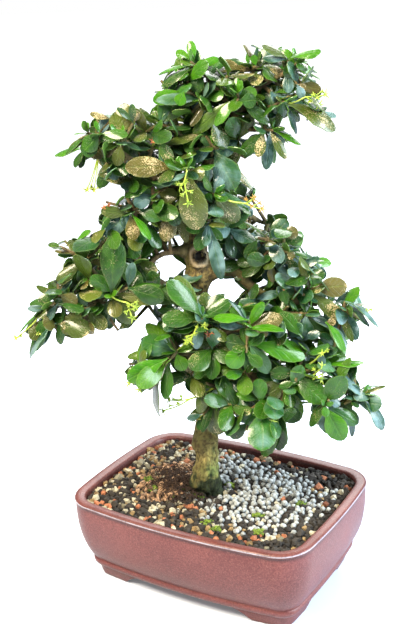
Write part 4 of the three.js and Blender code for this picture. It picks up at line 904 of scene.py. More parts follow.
chance = random.Random(14)
rows = []
for _ in range(FIBRES):
    near = HEAP_MIDDLE if chance.random() < 0.5 else Vector((*MOUND_MIDDLE, 0))
    x, y = near.x + chance.gauss(0, 11), near.y + chance.gauss(0, 13)
    if depth_in_pot(x, y) < 3 or from_trunk(x, y) < 12:
        continue
    turn, reach, bend = chance.uniform(0, 6.3), chance.uniform(5, 13), chance.uniform(-0.9, 0.9)
    line = []
    for step in range(4):
        way = turn + bend * step / 3
        out = reach * (step / 3 - 0.5)
        lift = chance.uniform(1.2, 4.2) if 0 < step < 3 else chance.uniform(0, 2)
        px, py = x + out * math.cos(way), y + out * math.sin(way)
        height = ground(px, py) + lift + 1 + heaped(px, py, chance)
        line.append((px, py, height, 0.28 if 0 < step < 3 else 0.16))
    rows.append(line)
fibres = as_mesh(tapered(rows), 0, 2)
settle(fibres, "peat_fibres", FIBRE, "soil", ["soil"])
print("fibres", triangles(fibres), "triangles")

# %% Moss cushions
MOSS_CUSHIONS = [(-52, -24, 5), (-66, -12, 4), (-30, -28, 3.5), (16, -50, 5), (28, -55, 4), (60, -45, 4),
                 (-24, -12, 5), (2, 12, 5), (-14, -14, 5), (70, 10, 4), (48, -22, 3.5)]
shapes = []
for x, y, reach in MOSS_CUSHIONS:
    for _ in range(26):
        px, py = x + chance.gauss(0, reach / 2), y + chance.gauss(0, reach / 2)
        lift = 3.2 - math.hypot(px - x, py - y) * 0.4
        shapes.append(tumbled(flat_chunk, chance.uniform(1.4, 2.4), chance) + (px, py, ground(px, py) + lift))
moss = copies("moss", chunk, shapes, {"shade": [chance.random() for shape in shapes]})
settle(moss, "moss_cushions", MOSS, "soil", ["soil"])
for pattern in (chunk, bead):
    bpy.data.objects.remove(pattern)
print("moss", triangles(moss), "triangles")

# %% [markdown]
# ## The layout of the limbs
# The trunk and limbs are one grown piece. Each is a row of stations chosen from the photograph, the same ones
# that the plain model uses: where the middle of the wood is, and how thick it is there.

# %% Limbs
LIMBS = {  # x, y, z and radius, in the tree's axes
    "trunk": [(-13, 6, 36, 14), (-13, 6, 74, 14), (-13, 0, 83, 13), (-11, 0, 98, 10.8), (-10, 0, 114, 9.8),
        (-10, 0, 128, 9.4), (-6, 0, 150, 8.8), (-8, 0, 172, 8.6), (-13, 0, 197, 8.6), (-14, 0, 223, 8.6),
        (-12, 0, 246, 8.8), (-8, 0, 264, 10.5), (-9, 2, 280, 9.6), (-9, 4, 299, 7.5), (-5, 5, 321, 6.6),
        (1, 5, 342, 6), (13, 4, 365, 5.2), (26, 2, 383, 4.4), (35, 0, 396, 3.6)],
    "lowLeft": [(-13, 0, 245, 5.4), (-30, -5, 252, 4.2), (-45, -9, 263, 3.7), (-58, -13, 265, 3.2),
        (-71, -17, 260, 2.8), (-81, -20, 255, 2.4)],
    "lowLeftTop": [(-71, -17, 260, 2.6), (-83, -19, 267, 2.2), (-91, -20, 278, 1.8)],
    "thinLeft": [(-11, 2, 280, 4.4), (-26, -3, 283, 3), (-39, -7, 281, 2.4), (-49, -10, 273, 2)],
    "upperLeft": [(-5, 5, 316, 5), (-15, 0, 330, 3.9), (-28, -6, 334, 3.3), (-44, -10, 349, 2.8),
        (-61, -14, 364, 2.3), (-71, -17, 373, 1.9)],
    "right": [(-7, 0, 263, 6.5), (18, -4, 265, 4.8), (30, -8, 255, 4.4), (42, -12, 245, 4),
        (54, -15, 239, 3.5), (68, -18, 242, 3), (83, -21, 239, 2.3)],
    "rightTop": [(68, -18, 242, 2.8), (63, -14, 260, 2.4), (56, -11, 277, 2), (49, -9, 286, 1.7)],
    "front": [(-13, 0, 209, 5), (-7, -16, 218, 3.8), (-7, -28, 230, 2.8)],
    "frontRise": [(-7, -16, 218, 3.4), (10, -28, 224, 2.9), (23, -36, 227, 2.3)],
    "lowRight": [(-7, 0, 162, 5.5), (10, -14, 178, 4.2), (25, -26, 185, 3.5), (47, -31, 183, 3),
        (67, -35, 181, 2.5), (83, -39, 168, 2), (96, -42, 165, 1.7)],
    "lowFront": [(25, -26, 185, 3), (34, -36, 180, 2.5), (36, -42, 174, 2)],
    "lowFrontLeft": [(-12, 0, 185, 5), (-19, -12, 200, 3.8), (-25, -22, 206, 3), (-31, -29, 204, 2.4)],
    "apexLeft": [(26, 2, 383, 3.4), (17, -3, 399, 2.6), (6, -8, 415, 1.9)],
    "apexRight": [(35, 0, 396, 3.3), (46, -4, 407, 2.7), (59, -8, 413, 2)],
    "crownRight": [(23, 2, 378, 3.4), (34, -6, 376, 2.6), (41, -11, 375, 2.1)],
    "crownFront": [(29, 1, 387, 3), (27, -9, 394, 2.3)],
    "midFront": [(-3, 5, 327, 5), (-5, -10, 336, 3.4), (-8, -20, 343, 2.5)],
    "backLow": [(-9, 0, 176, 5.5), (7, 14, 182, 4.2), (31, 27, 181, 3.3), (53, 36, 171, 2.4)],
    "backLeft": [(-12, 0, 231, 5), (-22, 14, 238, 3.8), (-39, 28, 234, 3), (-52, 36, 232, 2.2)],
    "backRight": [(-8, 3, 291, 5), (6, 16, 300, 3.8), (27, 30, 303, 3), (45, 40, 293, 2.3)],
    "backTop": [(7, 5, 354, 4), (3, 16, 365, 3), (-4, 26, 377, 2.2)],
    "backLowLeft": [(-10, 0, 180, 4.5), (-18, 14, 187, 3.4), (-31, 26, 189, 2.4)],
}
SCAR = ((-8, 2, 277), (-6.5, -12.5, 280.5))
SCAR_RADIUS = 7.6
print("limbs", len(LIMBS))

# %% [markdown]
# ## Trunk and limbs
# A Bezier curve with automatic handles bends softly through its stations, as wood does, and its radius
# can change from point to point. Each limb is such a curve, turned into a mesh. Joined, they still run
# through each other, so a voxel remesh melts them into one skin and a little smoothing gives the
# collars where a limb leaves the trunk.

# %% Raise the wood
VOXEL = 1.15
limb_rows = [[(*tree_point(x, y, z), r) for x, y, z, r in stations] for stations in LIMBS.values()]
stub = [(*tree_point(*end), SCAR_RADIUS) for end in SCAR]
wood = joined([as_mesh(tapered(limb_rows), 4, 8), as_mesh(tapered([stub]), 6, 2)])
applied(wood, "REMESH", mode="VOXEL", voxel_size=VOXEL * MM)
applied(wood, "SMOOTH", factor=0.5, iterations=4)
print("wood", triangles(wood), "triangles")

# %% [markdown]
# ## Knobs, ridges and the scar
# Old fukien tea wood is knobbly: swellings as wide as the trunk, long ridges that run down into the
# roots, and a fine cracked skin. Each is a noise of its own scale, and the point is moved along its
# normal. The cut of a lost limb is pressed in, with a rolled rim of healed bark round it. The same loop
# notes on each point how thick the wood is there, how mossy, and how far it is inside the scar, for the
# bark's colours.

# %% Carve the wood
RIM_WIDTH = 2.6
BARK_MARKS = ("girth", "moss", "scar", "hollow", "algae")
# Swellings (and a waist, with a height below zero): place, reach, height
BURLS = [
    ((-20, -5, 119), 8, 3.4), ((-3, -5, 124), 8, 2.0), ((-20, -3, 103), 7, -1.6), ((-17, 0, 283), 8, 2.5),
    ((-1, 0, 268), 9, 2.2), ((-16, -2, 165), 9, 1.8),
]
between = []
for rows in LIMBS.values():
    for start, end in zip(rows, rows[1:]):
        for share in (0, 0.25, 0.5, 0.75):
            between.append([a * (1 - share) + b * share for a, b in zip(start, end)])
finder = KDTree(len(between))
for index, (x, y, z, r) in enumerate(between):
    finder.insert(tree_point(x, y, z), index)
finder.balance()
scar_middle = tree_point(*SCAR[1])
scar_axis = (scar_middle - tree_point(*SCAR[0])).normalized()


def scarred(p):
    """How far the rim and the cut move a point, and how far it is inside the cut."""
    aside = p - scar_middle
    depth = aside.dot(scar_axis)
    if not -7 < depth < 4:
        return 0.0, 0.0
    radial = (aside - scar_axis * depth).length
    inside = kept((SCAR_RADIUS + 0.7 - radial) / 1.2)
    rim = 1.2 * math.exp(-((radial - SCAR_RADIUS - 1) / RIM_WIDTH * 2) ** 2)
    return rim - inside * (5 + noise.noise(p / 1.3) * 1.5), inside


def carved(p, normal):
    """How far a point of the wood moves out, and its marks."""
    girth = between[finder.find(p)[1]][3]
    above = p.z - SOIL_LEVEL
    thick = min(girth / 9, 1)
    flare = max(0, 1 - above / 26) ** 2
    knobs = noise.noise(p / 15) * 0.2 + noise.noise(p / 7 + Vector((5, 0, 0))) * 0.15
    ridge = 0.5 - abs(noise.noise(Vector((p.x / 4.2, p.y / 4.2, p.z / 17)))) * 2
    crack = min(abs(noise.noise(Vector((p.x / 1.9, p.y / 1.9, p.z / 4.6)))) * 5, 1) - 1
    roots = math.cos(4 * math.atan2(p.y - 1, p.x + 12) + 0.6) * 0.5 + 0.5
    cut, inside = scarred(p)
    lift = knobs * girth + ridge * (0.5 + 1.7 * flare) * thick
    lift += crack * 0.65 * max(thick, 0.4) + flare * roots * 3.2 + cut
    for place, reach, height in BURLS:
        lift += height * math.exp(-((p - tree_point(*place)).length / reach) ** 2)
    patch = noise.noise(p / 9 + Vector((0, 7, 0))) * 0.6 + noise.noise(p / 3) * 0.35
    mossy = kept(1.9 * max(0, 1 - above / 27) + patch + 0.25 * normal.z) if above < 60 else 0
    right_side = max(normal.dot(ACROSS * 0.8 - BACK * 0.6), 0) ** 2
    algae = kept(right_side * max(0, 1 - abs(above - 27) / 26) * 1.6 * (0.7 + patch))
    return lift, girth, mossy, inside, -crack * thick, algae


skin = [((vertex.co - POT_MIDDLE) / MM, vertex.normal.copy()) for vertex in wood.data.vertices]
rows = np.array([carved(p, normal) for p, normal in skin])
moved = [p + normal * row[0] for (p, normal), row in zip(skin, rows)]
wood.data.vertices.foreach_set("co", placed(moved).ravel())
for name, column in zip(BARK_MARKS, rows.T[1:]):
    mark_points(wood, name, column)
wood.data.update()
print("carved", len(rows), "points")

# %% [markdown]
# ## Bark
# The bark is tan to ochre with dark brown patches and a film of green. Thin limbs are warmer and redder than
# the trunk, the cracks are darker, and the foot is nearly black-green with moss. Low on the trunk, where the
# canopy shades it, a lighter ochre is painted light. The marks that the carving left on the mesh, and the
# height above the ground, say where each of these goes.

# %% Bark finish
bark = Finish("bark", Roughness=0.78, IOR=1.35)
stretch = bark.add("Mapping", {"Vector": bark.at, "Scale": (1.0, 1.0, 0.35)}).outputs["Vector"]
old = bark.mottled(230.0, 0.1, (0.03, 0.023, 0.008), (0.275, 0.205, 0.062))["Color"]
young = bark.mottled(260.0, 0.12, (0.04, 0.025, 0.012), (0.21, 0.145, 0.07), Vector=stretch)["Color"]
moss = bark.mottled(420.0, 0.18, (0.004, 0.006, 0.003), (0.032, 0.045, 0.014))["Color"]
stains = bark.mottled(75.0, 0.07, (1, 1, 1), (0, 0, 0), Vector=stretch)["Mask"]
film = bark.mottled(46.0, 0.1, (0, 0, 0), (1, 1, 1))["Mask"]
scar = bark.mark("scar")
skin = bark.layered(
    young,
    (bark.ranged(bark.mark("girth"), 3.2, 7.0), old),
    # Painted light: a lighter ochre towards the foot of the trunk, where the canopy shades it.
    (bark.ranged(bark.height, 0.2, 0.11, 0.0, 0.62), (0.6, 0.47, 0.16)),
    (bark.times(stains, 0.72), (0.035, 0.027, 0.012)),
    (bark.times(film, 0.34), (0.13, 0.15, 0.035)),
    (bark.times(bark.mark("algae"), 0.8), (0.16, 0.235, 0.06)),
    (bark.times(bark.mark("hollow"), 0.85), (0.035, 0.02, 0.012)),
    (scar, (0.007, 0.006, 0.005)),
    (bark.times(bark.ranged(scar, 0.0, 0.3, 0.0, 0.7), bark.ranged(scar, 0.75, 0.4)), (0.4, 0.32, 0.2)),
    (bark.ranged(bark.mark("moss"), 0.22, 0.6), moss),
)
grit = bark.noise(900.0, 5.0, stretch, Roughness=0.65)
rough = bark.math("ADD", bark.ranged(grit, 0.3, 0.7, 0.66, 0.92), scar, clamp=True)
bark.done(skin, grit, 0.9, 0.0014, Roughness=rough)
settle(wood, "trunk_and_limbs", bark, "bark", ["wood"], smooth=70)
print("bark", len(bark.tree.nodes), "nodes")

# %% [markdown]
# ## The layout of the leaves
# A spray is a leafy twig. Its row gives where it leaves the wood, its hubs, which are the points that the
# leaves crowd round, with the number of leaves set by rule there and, where the twig forks, the hub that it
# comes from, and the leaves listed one by one to match those that can be told apart in the photograph.

# %% Sprays
# A hub: x, y, z, leaves, the hub that it comes from. A leaf: hub, angle in the front view, length, lean
# towards the viewer, width, and how far the upper face is turned to the viewer.
SPRAYS = [  # name, (limb, point), hubs, leaves listed one by one
    ("low_left_tip", ("lowLeft", 5), [(-87, -23, 251, 0), (-97, -31, 249, 2, 0), (-115, -29, 255, 2, 0),
      (-126, -31, 251, 2, 2)],
     [(2, 140, 22, 5, 6, 40), (2, 175, 17, -10, 5, 20), (3, -175, 15, 10, 7, 40), (3, -140, 31, -5, 4, 10),
      (3, -110, 35, 10, 10, 75), (3, -115, 45, -10, 4, 60), (2, -95, 33, 10, 7, 75),
      (2, 100, 14, -35, 9, 60), (1, -135, 25, 10, 14, 72), (1, -45, 26, 15, 11, 70),
      (1, 105, 13, 10, 9, 50)]),
    ("low_left_heart", ("lowLeft", 4), [(-74, -29, 259, 2)],
     [(0, 85, 46, 5, 19, 75), (0, -5, 39, 10, 13, 70), (0, -70, 30, 15, 14, 75), (0, -115, 25, 10, 9, 75),
      (0, 135, 23, 10, 11, 65)]),
    ("low_left_top", ("lowLeftTop", 2), [(-94, -21, 284, 3)],
     [(0, 165, 24, 5, 5, 20), (0, 175, 22, -10, 5, 30), (0, 55, 17, 5, 7, 60), (0, 160, 31, -10, 3, 0),
      (0, 75, 23, -5, 4, 40), (0, -150, 27, 10, 9, 60), (0, -10, 17, -5, 7, 40)]),
    ("thin_left", ("thinLeft", 3), [(-53, -12, 277, 2)],
     [(0, 100, 34, 5, 13, 70), (0, -70, 15, 10, 9, 70), (0, -20, 16, -5, 9, 65), (0, 55, 24, -5, 9, 60),
      (0, -170, 17, 5, 8, 55)]),
    ("low_left_back", ("lowLeft", 2), [(-55, 8, 268, 2), (-70, 20, 271, 4), (-90, 26, 265, 4)], []),
    ("upper_left_tip", ("upperLeft", 5), [(-78, -19, 377, 3)],
     [(0, -115, 16, 15, 13, 72), (0, -160, 34, 5, 5, 20), (0, -130, 28, 10, 6, 40),
      (0, -180, 17, -10, 5, 20), (0, 100, 18, -5, 5, 30), (0, 55, 17, 5, 8, 60)]),
    ("upper_left_mid", ("upperLeft", 4), [(-60, -22, 372, 3)],
     [(0, 100, 22, 5, 10, 70), (0, 80, 29, -5, 13, 70), (0, 165, 16, 10, 7, 40), (0, -20, 15, 10, 6, 30),
      (0, -105, 17, 15, 9, 60)]),
    ("upper_left_high", ("upperLeft", 3), [(-38, -12, 366, 2), (-31, -10, 383, 3)],
     [(1, 35, 24, 5, 9, 60), (1, 100, 21, 5, 10, 60), (0, 15, 13, 25, 5, 40), (1, 140, 19, -5, 7, 30),
      (1, -10, 23, 10, 5, 30), (0, 140, 23, -5, 9, 40)]),
    ("upper_left_front", ("upperLeft", 2), [(-21, -27, 353, 2)],
     [(0, 175, 37, 10, 15, 72), (0, -155, 16, 20, 8, 65), (0, 120, 20, 0, 9, 50), (0, 15, 16, 10, 10, 60)]),
    ("mid_left", ("upperLeft", 2), [(-39, -18, 331, 3), (-54, -20, 321, 3)],
     [(1, -145, 30, 10, 13, 68), (1, -20, 21, 15, 9, 70), (0, -165, 18, 15, 11, 70),
      (0, -135, 12, 30, 6, 72), (0, 160, 26, 5, 10, 55), (0, 170, 41, -5, 8, 40), (0, -5, 18, 15, 11, 65)]),
    ("upper_left_back", ("upperLeft", 3), [(-45, 14, 353, 3), (-62, 26, 360, 4), (-82, 32, 356, 4)],
     []),
    ("apex_left", ("apexLeft", 2), [(-1, -10, 422, 3)],
     [(0, 140, 21, 5, 7, 45), (0, 95, 20, -5, 7, 70), (0, -175, 29, 5, 5, 30), (0, 30, 17, -5, 7, 50),
      (0, -95, 19, 20, 10, 75), (0, -150, 15, 15, 7, 60)]),
    ("apex_left_low", ("apexLeft", 1), [(2, -15, 399, 3)],
     [(0, -180, 19, 10, 8, 50), (0, 175, 36, 0, 10, 50), (0, 15, 16, 10, 9, 60), (0, -120, 21, 10, 6, 50)]),
    ("crown_front", ("crownFront", 1), [(27, -16, 399, 3)],
     [(0, 90, 15, 10, 5, 60), (0, -135, 26, 15, 8, 60), (0, -145, 42, 5, 10, 70), (0, 20, 15, 5, 11, 60),
      (0, -40, 29, 10, 9, 60)]),
    ("apex_mid", ("apexRight", 1), [(39, 1, 418, 3)],
     [(0, -180, 27, 5, 7, 40), (0, 80, 15, 5, 6, 70), (0, 110, 19, -10, 4, 40), (0, 45, 23, -5, 9, 50),
      (0, -70, 19, 20, 10, 65)]),
    ("apex_right", ("apexRight", 2), [(66, -10, 418, 2)],
     [(0, 110, 14, -10, 8, 60), (0, -5, 17, 10, 10, 65), (0, 30, 23, -5, 5, 40), (0, 20, 26, -10, 4, 10),
      (0, -20, 28, -5, 5, 20), (0, -95, 18, 20, 8, 72)]),
    ("apex_right_low", ("apexRight", 1), [(60, -13, 394, 2)],
     [(0, -50, 21, 15, 7, 65), (0, -70, 26, 5, 5, 60), (0, 15, 29, -5, 5, 20), (0, 145, 13, 15, 9, 60),
      (0, -25, 41, 5, 11, 45), (0, -15, 34, -5, 9, 50)]),
    ("crown_right", ("crownRight", 2), [(46, -14, 375, 3)],
     [(0, -25, 29, 5, 7, 30), (0, -90, 29, 10, 9, 78), (0, -55, 27, 10, 7, 60), (0, -130, 25, 5, 7, 80),
      (0, -110, 25, -5, 8, 70)]),
    ("crown_heart", ("trunk", 14), [(8, -15, 364, 3)],
     [(0, -155, 22, 10, 9, 70), (0, -65, 34, 10, 20, 75), (0, -50, 44, -5, 5, 40), (0, 125, 17, 5, 8, 50)]),
    ("crown_back", ("trunk", 16), [(39, 14, 400, 3), (48, 26, 400, 4)],
     [(0, 130, 17, -20, 7, 40)]),
    ("back_top", ("backTop", 2), [(-6, 28, 380, 4), (9, 34, 391, 4, 0)], []),
    ("mid_front", ("midFront", 2), [(-12, -30, 351, 2)],
     [(0, -85, 45, 10, 21, 78), (0, 155, 19, 10, 9, 50), (0, -15, 13, 15, 10, 60)]),
    ("mid_front_right", ("midFront", 1), [(6, -23, 331, 2)],
     [(0, -55, 30, 15, 16, 73), (0, -30, 34, 5, 7, 30), (0, 155, 16, 10, 10, 60), (0, -110, 10, 40, 7, 65),
      (0, -10, 23, -10, 6, 20)]),
    ("mid_hanging", ("trunk", 11), [(1, -17, 309, 2)],
     [(0, -80, 46, 10, 11, 78), (0, -100, 20, 20, 7, 78), (0, -55, 18, 10, 6, 70), (0, -115, 24, 5, 10, 80),
      (0, -165, 18, 5, 9, 60)]),
    ("mid_left_low", ("upperLeft", 1), [(-24, -16, 321, 3)],
     [(0, -110, 27, 10, 13, 75), (0, 155, 11, 20, 9, 60), (0, -145, 17, -5, 8, 60), (0, -75, 29, 0, 8, 72)]),
    ("right_top", ("rightTop", 3), [(47, -11, 290, 2), (58, -14, 281, 2, 0)],
     [(0, 45, 21, -5, 13, 60), (0, 0, 26, 5, 9, 45), (0, -15, 26, 10, 3, 30), (0, -60, 22, 15, 11, 72),
      (1, -60, 29, 10, 9, 65), (0, 140, 26, 5, 4, 10), (1, -15, 19, 5, 5, 20), (1, -35, 39, 0, 14, 66),
      (1, -15, 41, -5, 3, 0), (1, -30, 46, 5, 3, 10)]),
    ("right_heart", ("right", 2), [(34, 2, 270, 3)],
     [(0, 145, 25, 5, 12, 60), (0, -70, 19, 15, 16, 60), (0, -40, 24, 5, 10, 50), (0, 55, 17, -5, 8, 50),
      (0, 120, 28, -5, 6, 40)]),
    ("right_low", ("right", 4), [(56, -22, 235, 2), (73, -27, 234, 2)],
     [(0, 160, 36, 5, 8, 60), (1, -100, 21, 15, 16, 78), (1, -160, 21, 10, 12, 65),
      (1, -50, 45, -5, 10, 72), (1, -30, 28, 10, 8, 60)]),
    ("right_mid", ("right", 5), [(74, -20, 248, 2)],
     [(0, 10, 32, 5, 16, 62), (0, 75, 16, 10, 6, 65), (0, 100, 28, 0, 5, 60), (0, -35, 33, 10, 11, 60),
      (0, -15, 17, -15, 8, 40)]),
    ("right_tip", ("right", 6), [(103, -23, 236, 3)],
     [(0, 5, 17, -5, 5, 15), (0, 55, 23, 5, 8, 65), (0, -70, 27, 10, 12, 72), (0, -35, 33, 0, 3, 30),
      (0, -45, 25, 5, 6, 60), (0, -95, 32, -5, 10, 72), (0, 65, 13, -20, 6, 40)]),
    ("right_back", ("right", 3), [(61, 12, 251, 3), (79, 24, 261, 4)],
     [(1, -25, 23, -15, 10, 40)]),
    ("back_right", ("backRight", 3), [(50, 44, 290, 5), (38, 44, 311, 4, 0)], []),
    ("front_heart", ("front", 2), [(-8, -34, 235, 2)],
     [(0, 115, 42, 5, 13, 68), (0, 170, 31, 10, 13, 68), (0, 35, 28, 5, 11, 62), (0, 165, 35, -10, 7, 60),
      (0, 55, 26, -15, 12, 60), (0, -105, 22, 15, 8, 60)]),
    ("low_front_left", ("lowFrontLeft", 3), [(-29, -31, 210, 2), (-37, -34, 202, 2)],
     [(0, 155, 29, 10, 17, 72), (0, 135, 32, 0, 11, 66), (0, -175, 39, -5, 8, 40), (0, -70, 16, 20, 11, 72),
      (1, -160, 34, 10, 15, 66), (1, -125, 28, 10, 13, 72), (1, -95, 28, 10, 10, 80),
      (1, -105, 46, 0, 5, 60), (0, 120, 19, -10, 7, 50)]),
    ("front_rise", ("frontRise", 2), [(27, -42, 231, 2), (25, -46, 217, 2)],
     [(0, 120, 27, 5, 4, 20), (0, 60, 24, 10, 8, 65), (0, 130, 20, 5, 7, 55), (0, 170, 22, 10, 7, 45),
      (0, 15, 27, 5, 13, 55), (0, -60, 22, 15, 12, 72), (1, -135, 21, 10, 15, 72),
      (1, 170, 17, -10, 13, 76), (1, -15, 46, 0, 14, 55), (1, -55, 29, -5, 12, 65)]),
    ("low_front", ("lowFront", 2), [(35, -46, 170, 2)],
     [(0, -95, 44, 10, 22, 82), (0, -75, 44, 5, 14, 76), (0, -20, 14, 10, 6, 60), (0, -130, 21, 10, 13, 80),
      (0, 95, 20, 0, 12, 65)]),
    ("low_heart", ("lowRight", 1), [(0, -26, 177, 3), (-2, -29, 164, 3)],
     [(0, 165, 26, 10, 16, 65), (0, -145, 19, 10, 11, 70), (1, -85, 26, 10, 16, 80),
      (1, -60, 37, 5, 15, 76), (1, -120, 25, 5, 6, 80), (1, -150, 24, 0, 5, 50), (0, -5, 18, 25, 13, 70),
      (0, 110, 24, 0, 9, 60)]),
    ("low_right_mid", ("lowRight", 3), [(52, -40, 182, 2), (63, -42, 192, 2, 0)],
     [(1, 175, 21, 10, 10, 66), (0, -155, 14, 20, 15, 72), (0, -70, 33, 5, 17, 78),
      (0, -95, 33, -5, 12, 72), (1, 50, 14, 15, 7, 50), (1, -55, 32, 10, 17, 74), (1, 40, 26, -5, 11, 60)]),
    ("low_right", ("lowRight", 5), [(83, -52, 168, 2)],
     [(0, -65, 32, 10, 17, 80), (0, -125, 21, -5, 9, 60), (0, -35, 31, 0, 11, 72), (0, 60, 29, 10, 17, 72),
      (0, 60, 42, -5, 8, 45)]),
    ("low_right_tip", ("lowRight", 6), [(109, -44, 169, 3)],
     [(0, -55, 35, 5, 7, 68), (0, 20, 25, 0, 4, 20), (0, -10, 22, 10, 10, 60), (0, 115, 31, 5, 6, 55),
      (0, 75, 29, -5, 5, 30), (0, -95, 35, -5, 5, 70)]),
    ("back_low", ("backLow", 3), [(56, 38, 168, 4), (40, 34, 152, 4, 0)], []),
    ("back_low_mid", ("backLow", 1), [(7, 28, 189, 3), (22, 36, 198, 4)], []),
    ("back_left", ("backLeft", 3), [(-54, 38, 230, 4), (-43, 34, 213, 4, 0)], []),
    ("back_low_left", ("backLowLeft", 2), [(-33, 30, 185, 4), (-46, 24, 172, 4, 0)], []),
]
print("sprays", len(SPRAYS), "leaves set by hand", sum(len(row[3]) for row in SPRAYS))

# %% [markdown]
# ## Growing the same leaves again
# The plain model has a thin slab where each leaf is. To put a fine leaf over each slab, this cell works
# the places out again by the same rule: leaves go round a twig by the golden angle, with small draws
# that come from a counter instead of chance. The plain model turned a leaf a little where it would have
# touched a neighbour, so each turn is tried here until the slab's corners are found in the plain mesh.

# %% A leaf
GOLDEN_ANGLE = math.pi * (3 - math.sqrt(5))
BLADE_THICKNESS = 0.7
# Outline of a slab of up to a width: share of the length, share of half the width
SLABS = [
    (9.6, [(0.42, 0.9), (0.92, 0.6)]),
    (12.5, [(0.4, 0.9), (0.82, 0.88), (1, 0)]),
    (17.5, [(0.24, 0.6), (0.56, 1), (0.86, 0.76), (1, 0)]),
    (math.inf, [(0.24, 0.62), (0.55, 1), (0.85, 0.82), (0.93, 0.45), (1, 0)]),
]


def draw(*keys):
    """A number from 0 to 1 that the keys settle, as in the plain model."""
    h = 2166136261
    for key in keys:
        h = ((h ^ key) * 16777619) & 0xFFFFFFFF
        h = ((h ^ (h >> 13)) * 1274126177) & 0xFFFFFFFF
        h ^= h >> 16
    return h / 4294967296


def lerp(low, high, share):
    return low + (high - low) * share


@dataclass
class Leaf:
    """One leaf in the pot's millimetres: where it starts and ends, its upper side and its form."""

    root: Vector
    tip: Vector
    upper: Vector
    width: float
    arch: float
    look: tuple | None = None

    def axes(self):
        """Along, normal and side, the last two of length one."""
        along = self.tip - self.root
        way = along.normalized()
        normal = (self.upper - way * self.upper.dot(way)).normalized()
        return along, normal, way.cross(normal)

    def corners(self):
        """The slab's corners in the plain model, all but the root."""
        along, normal, side = self.axes()
        outline = next(rows for up_to, rows in SLABS if self.width < up_to)
        for s, w in outline + [(s, -w) for s, w in outline if w]:
            middle = self.root + along * s + side * (w * self.width / 2)
            middle += normal * (self.arch * along.length * 4 * s * (1 - s))
            for face in (-1, 1):
                yield middle + normal * (face * BLADE_THICKNESS / 2)

    def feelers(self):
        """Points on the outer part of the blade."""
        along, normal, side = self.axes()
        edge = side * (self.width * 0.36)
        spots = []
        for share in (0.4, 0.62, 0.84):
            middle = self.root + along * share + normal * (self.arch * along.length * 4 * share * (1 - share))
            spots += [tuple(middle), tuple(middle + edge), tuple(middle - edge)]
        return spots + [tuple(self.root + along)]


print("slab outlines", len(SLABS))

# %% Where each leaf stands
SHOOT_RADIUS = 1.7
LEAF_LENGTH = 24
LEAF_STEP = 1.5
MOST_AHEAD = 6
# Lean and turn, then swing, in degrees
HAND_TRIES = [(0, 0), (9, 0), (-9, 0), (18, 0), (-18, 0), (9, 9), (-9, 9), (9, -9), (-9, -9), (27, 0),
              (-27, 0), (18, 14), (-18, 14), (18, -14), (-18, -14), (36, 0), (-36, 0)]
RULE_TRIES = [0, 20, -20, 40, -40, 60, -60, 85, -85, 110, -110]


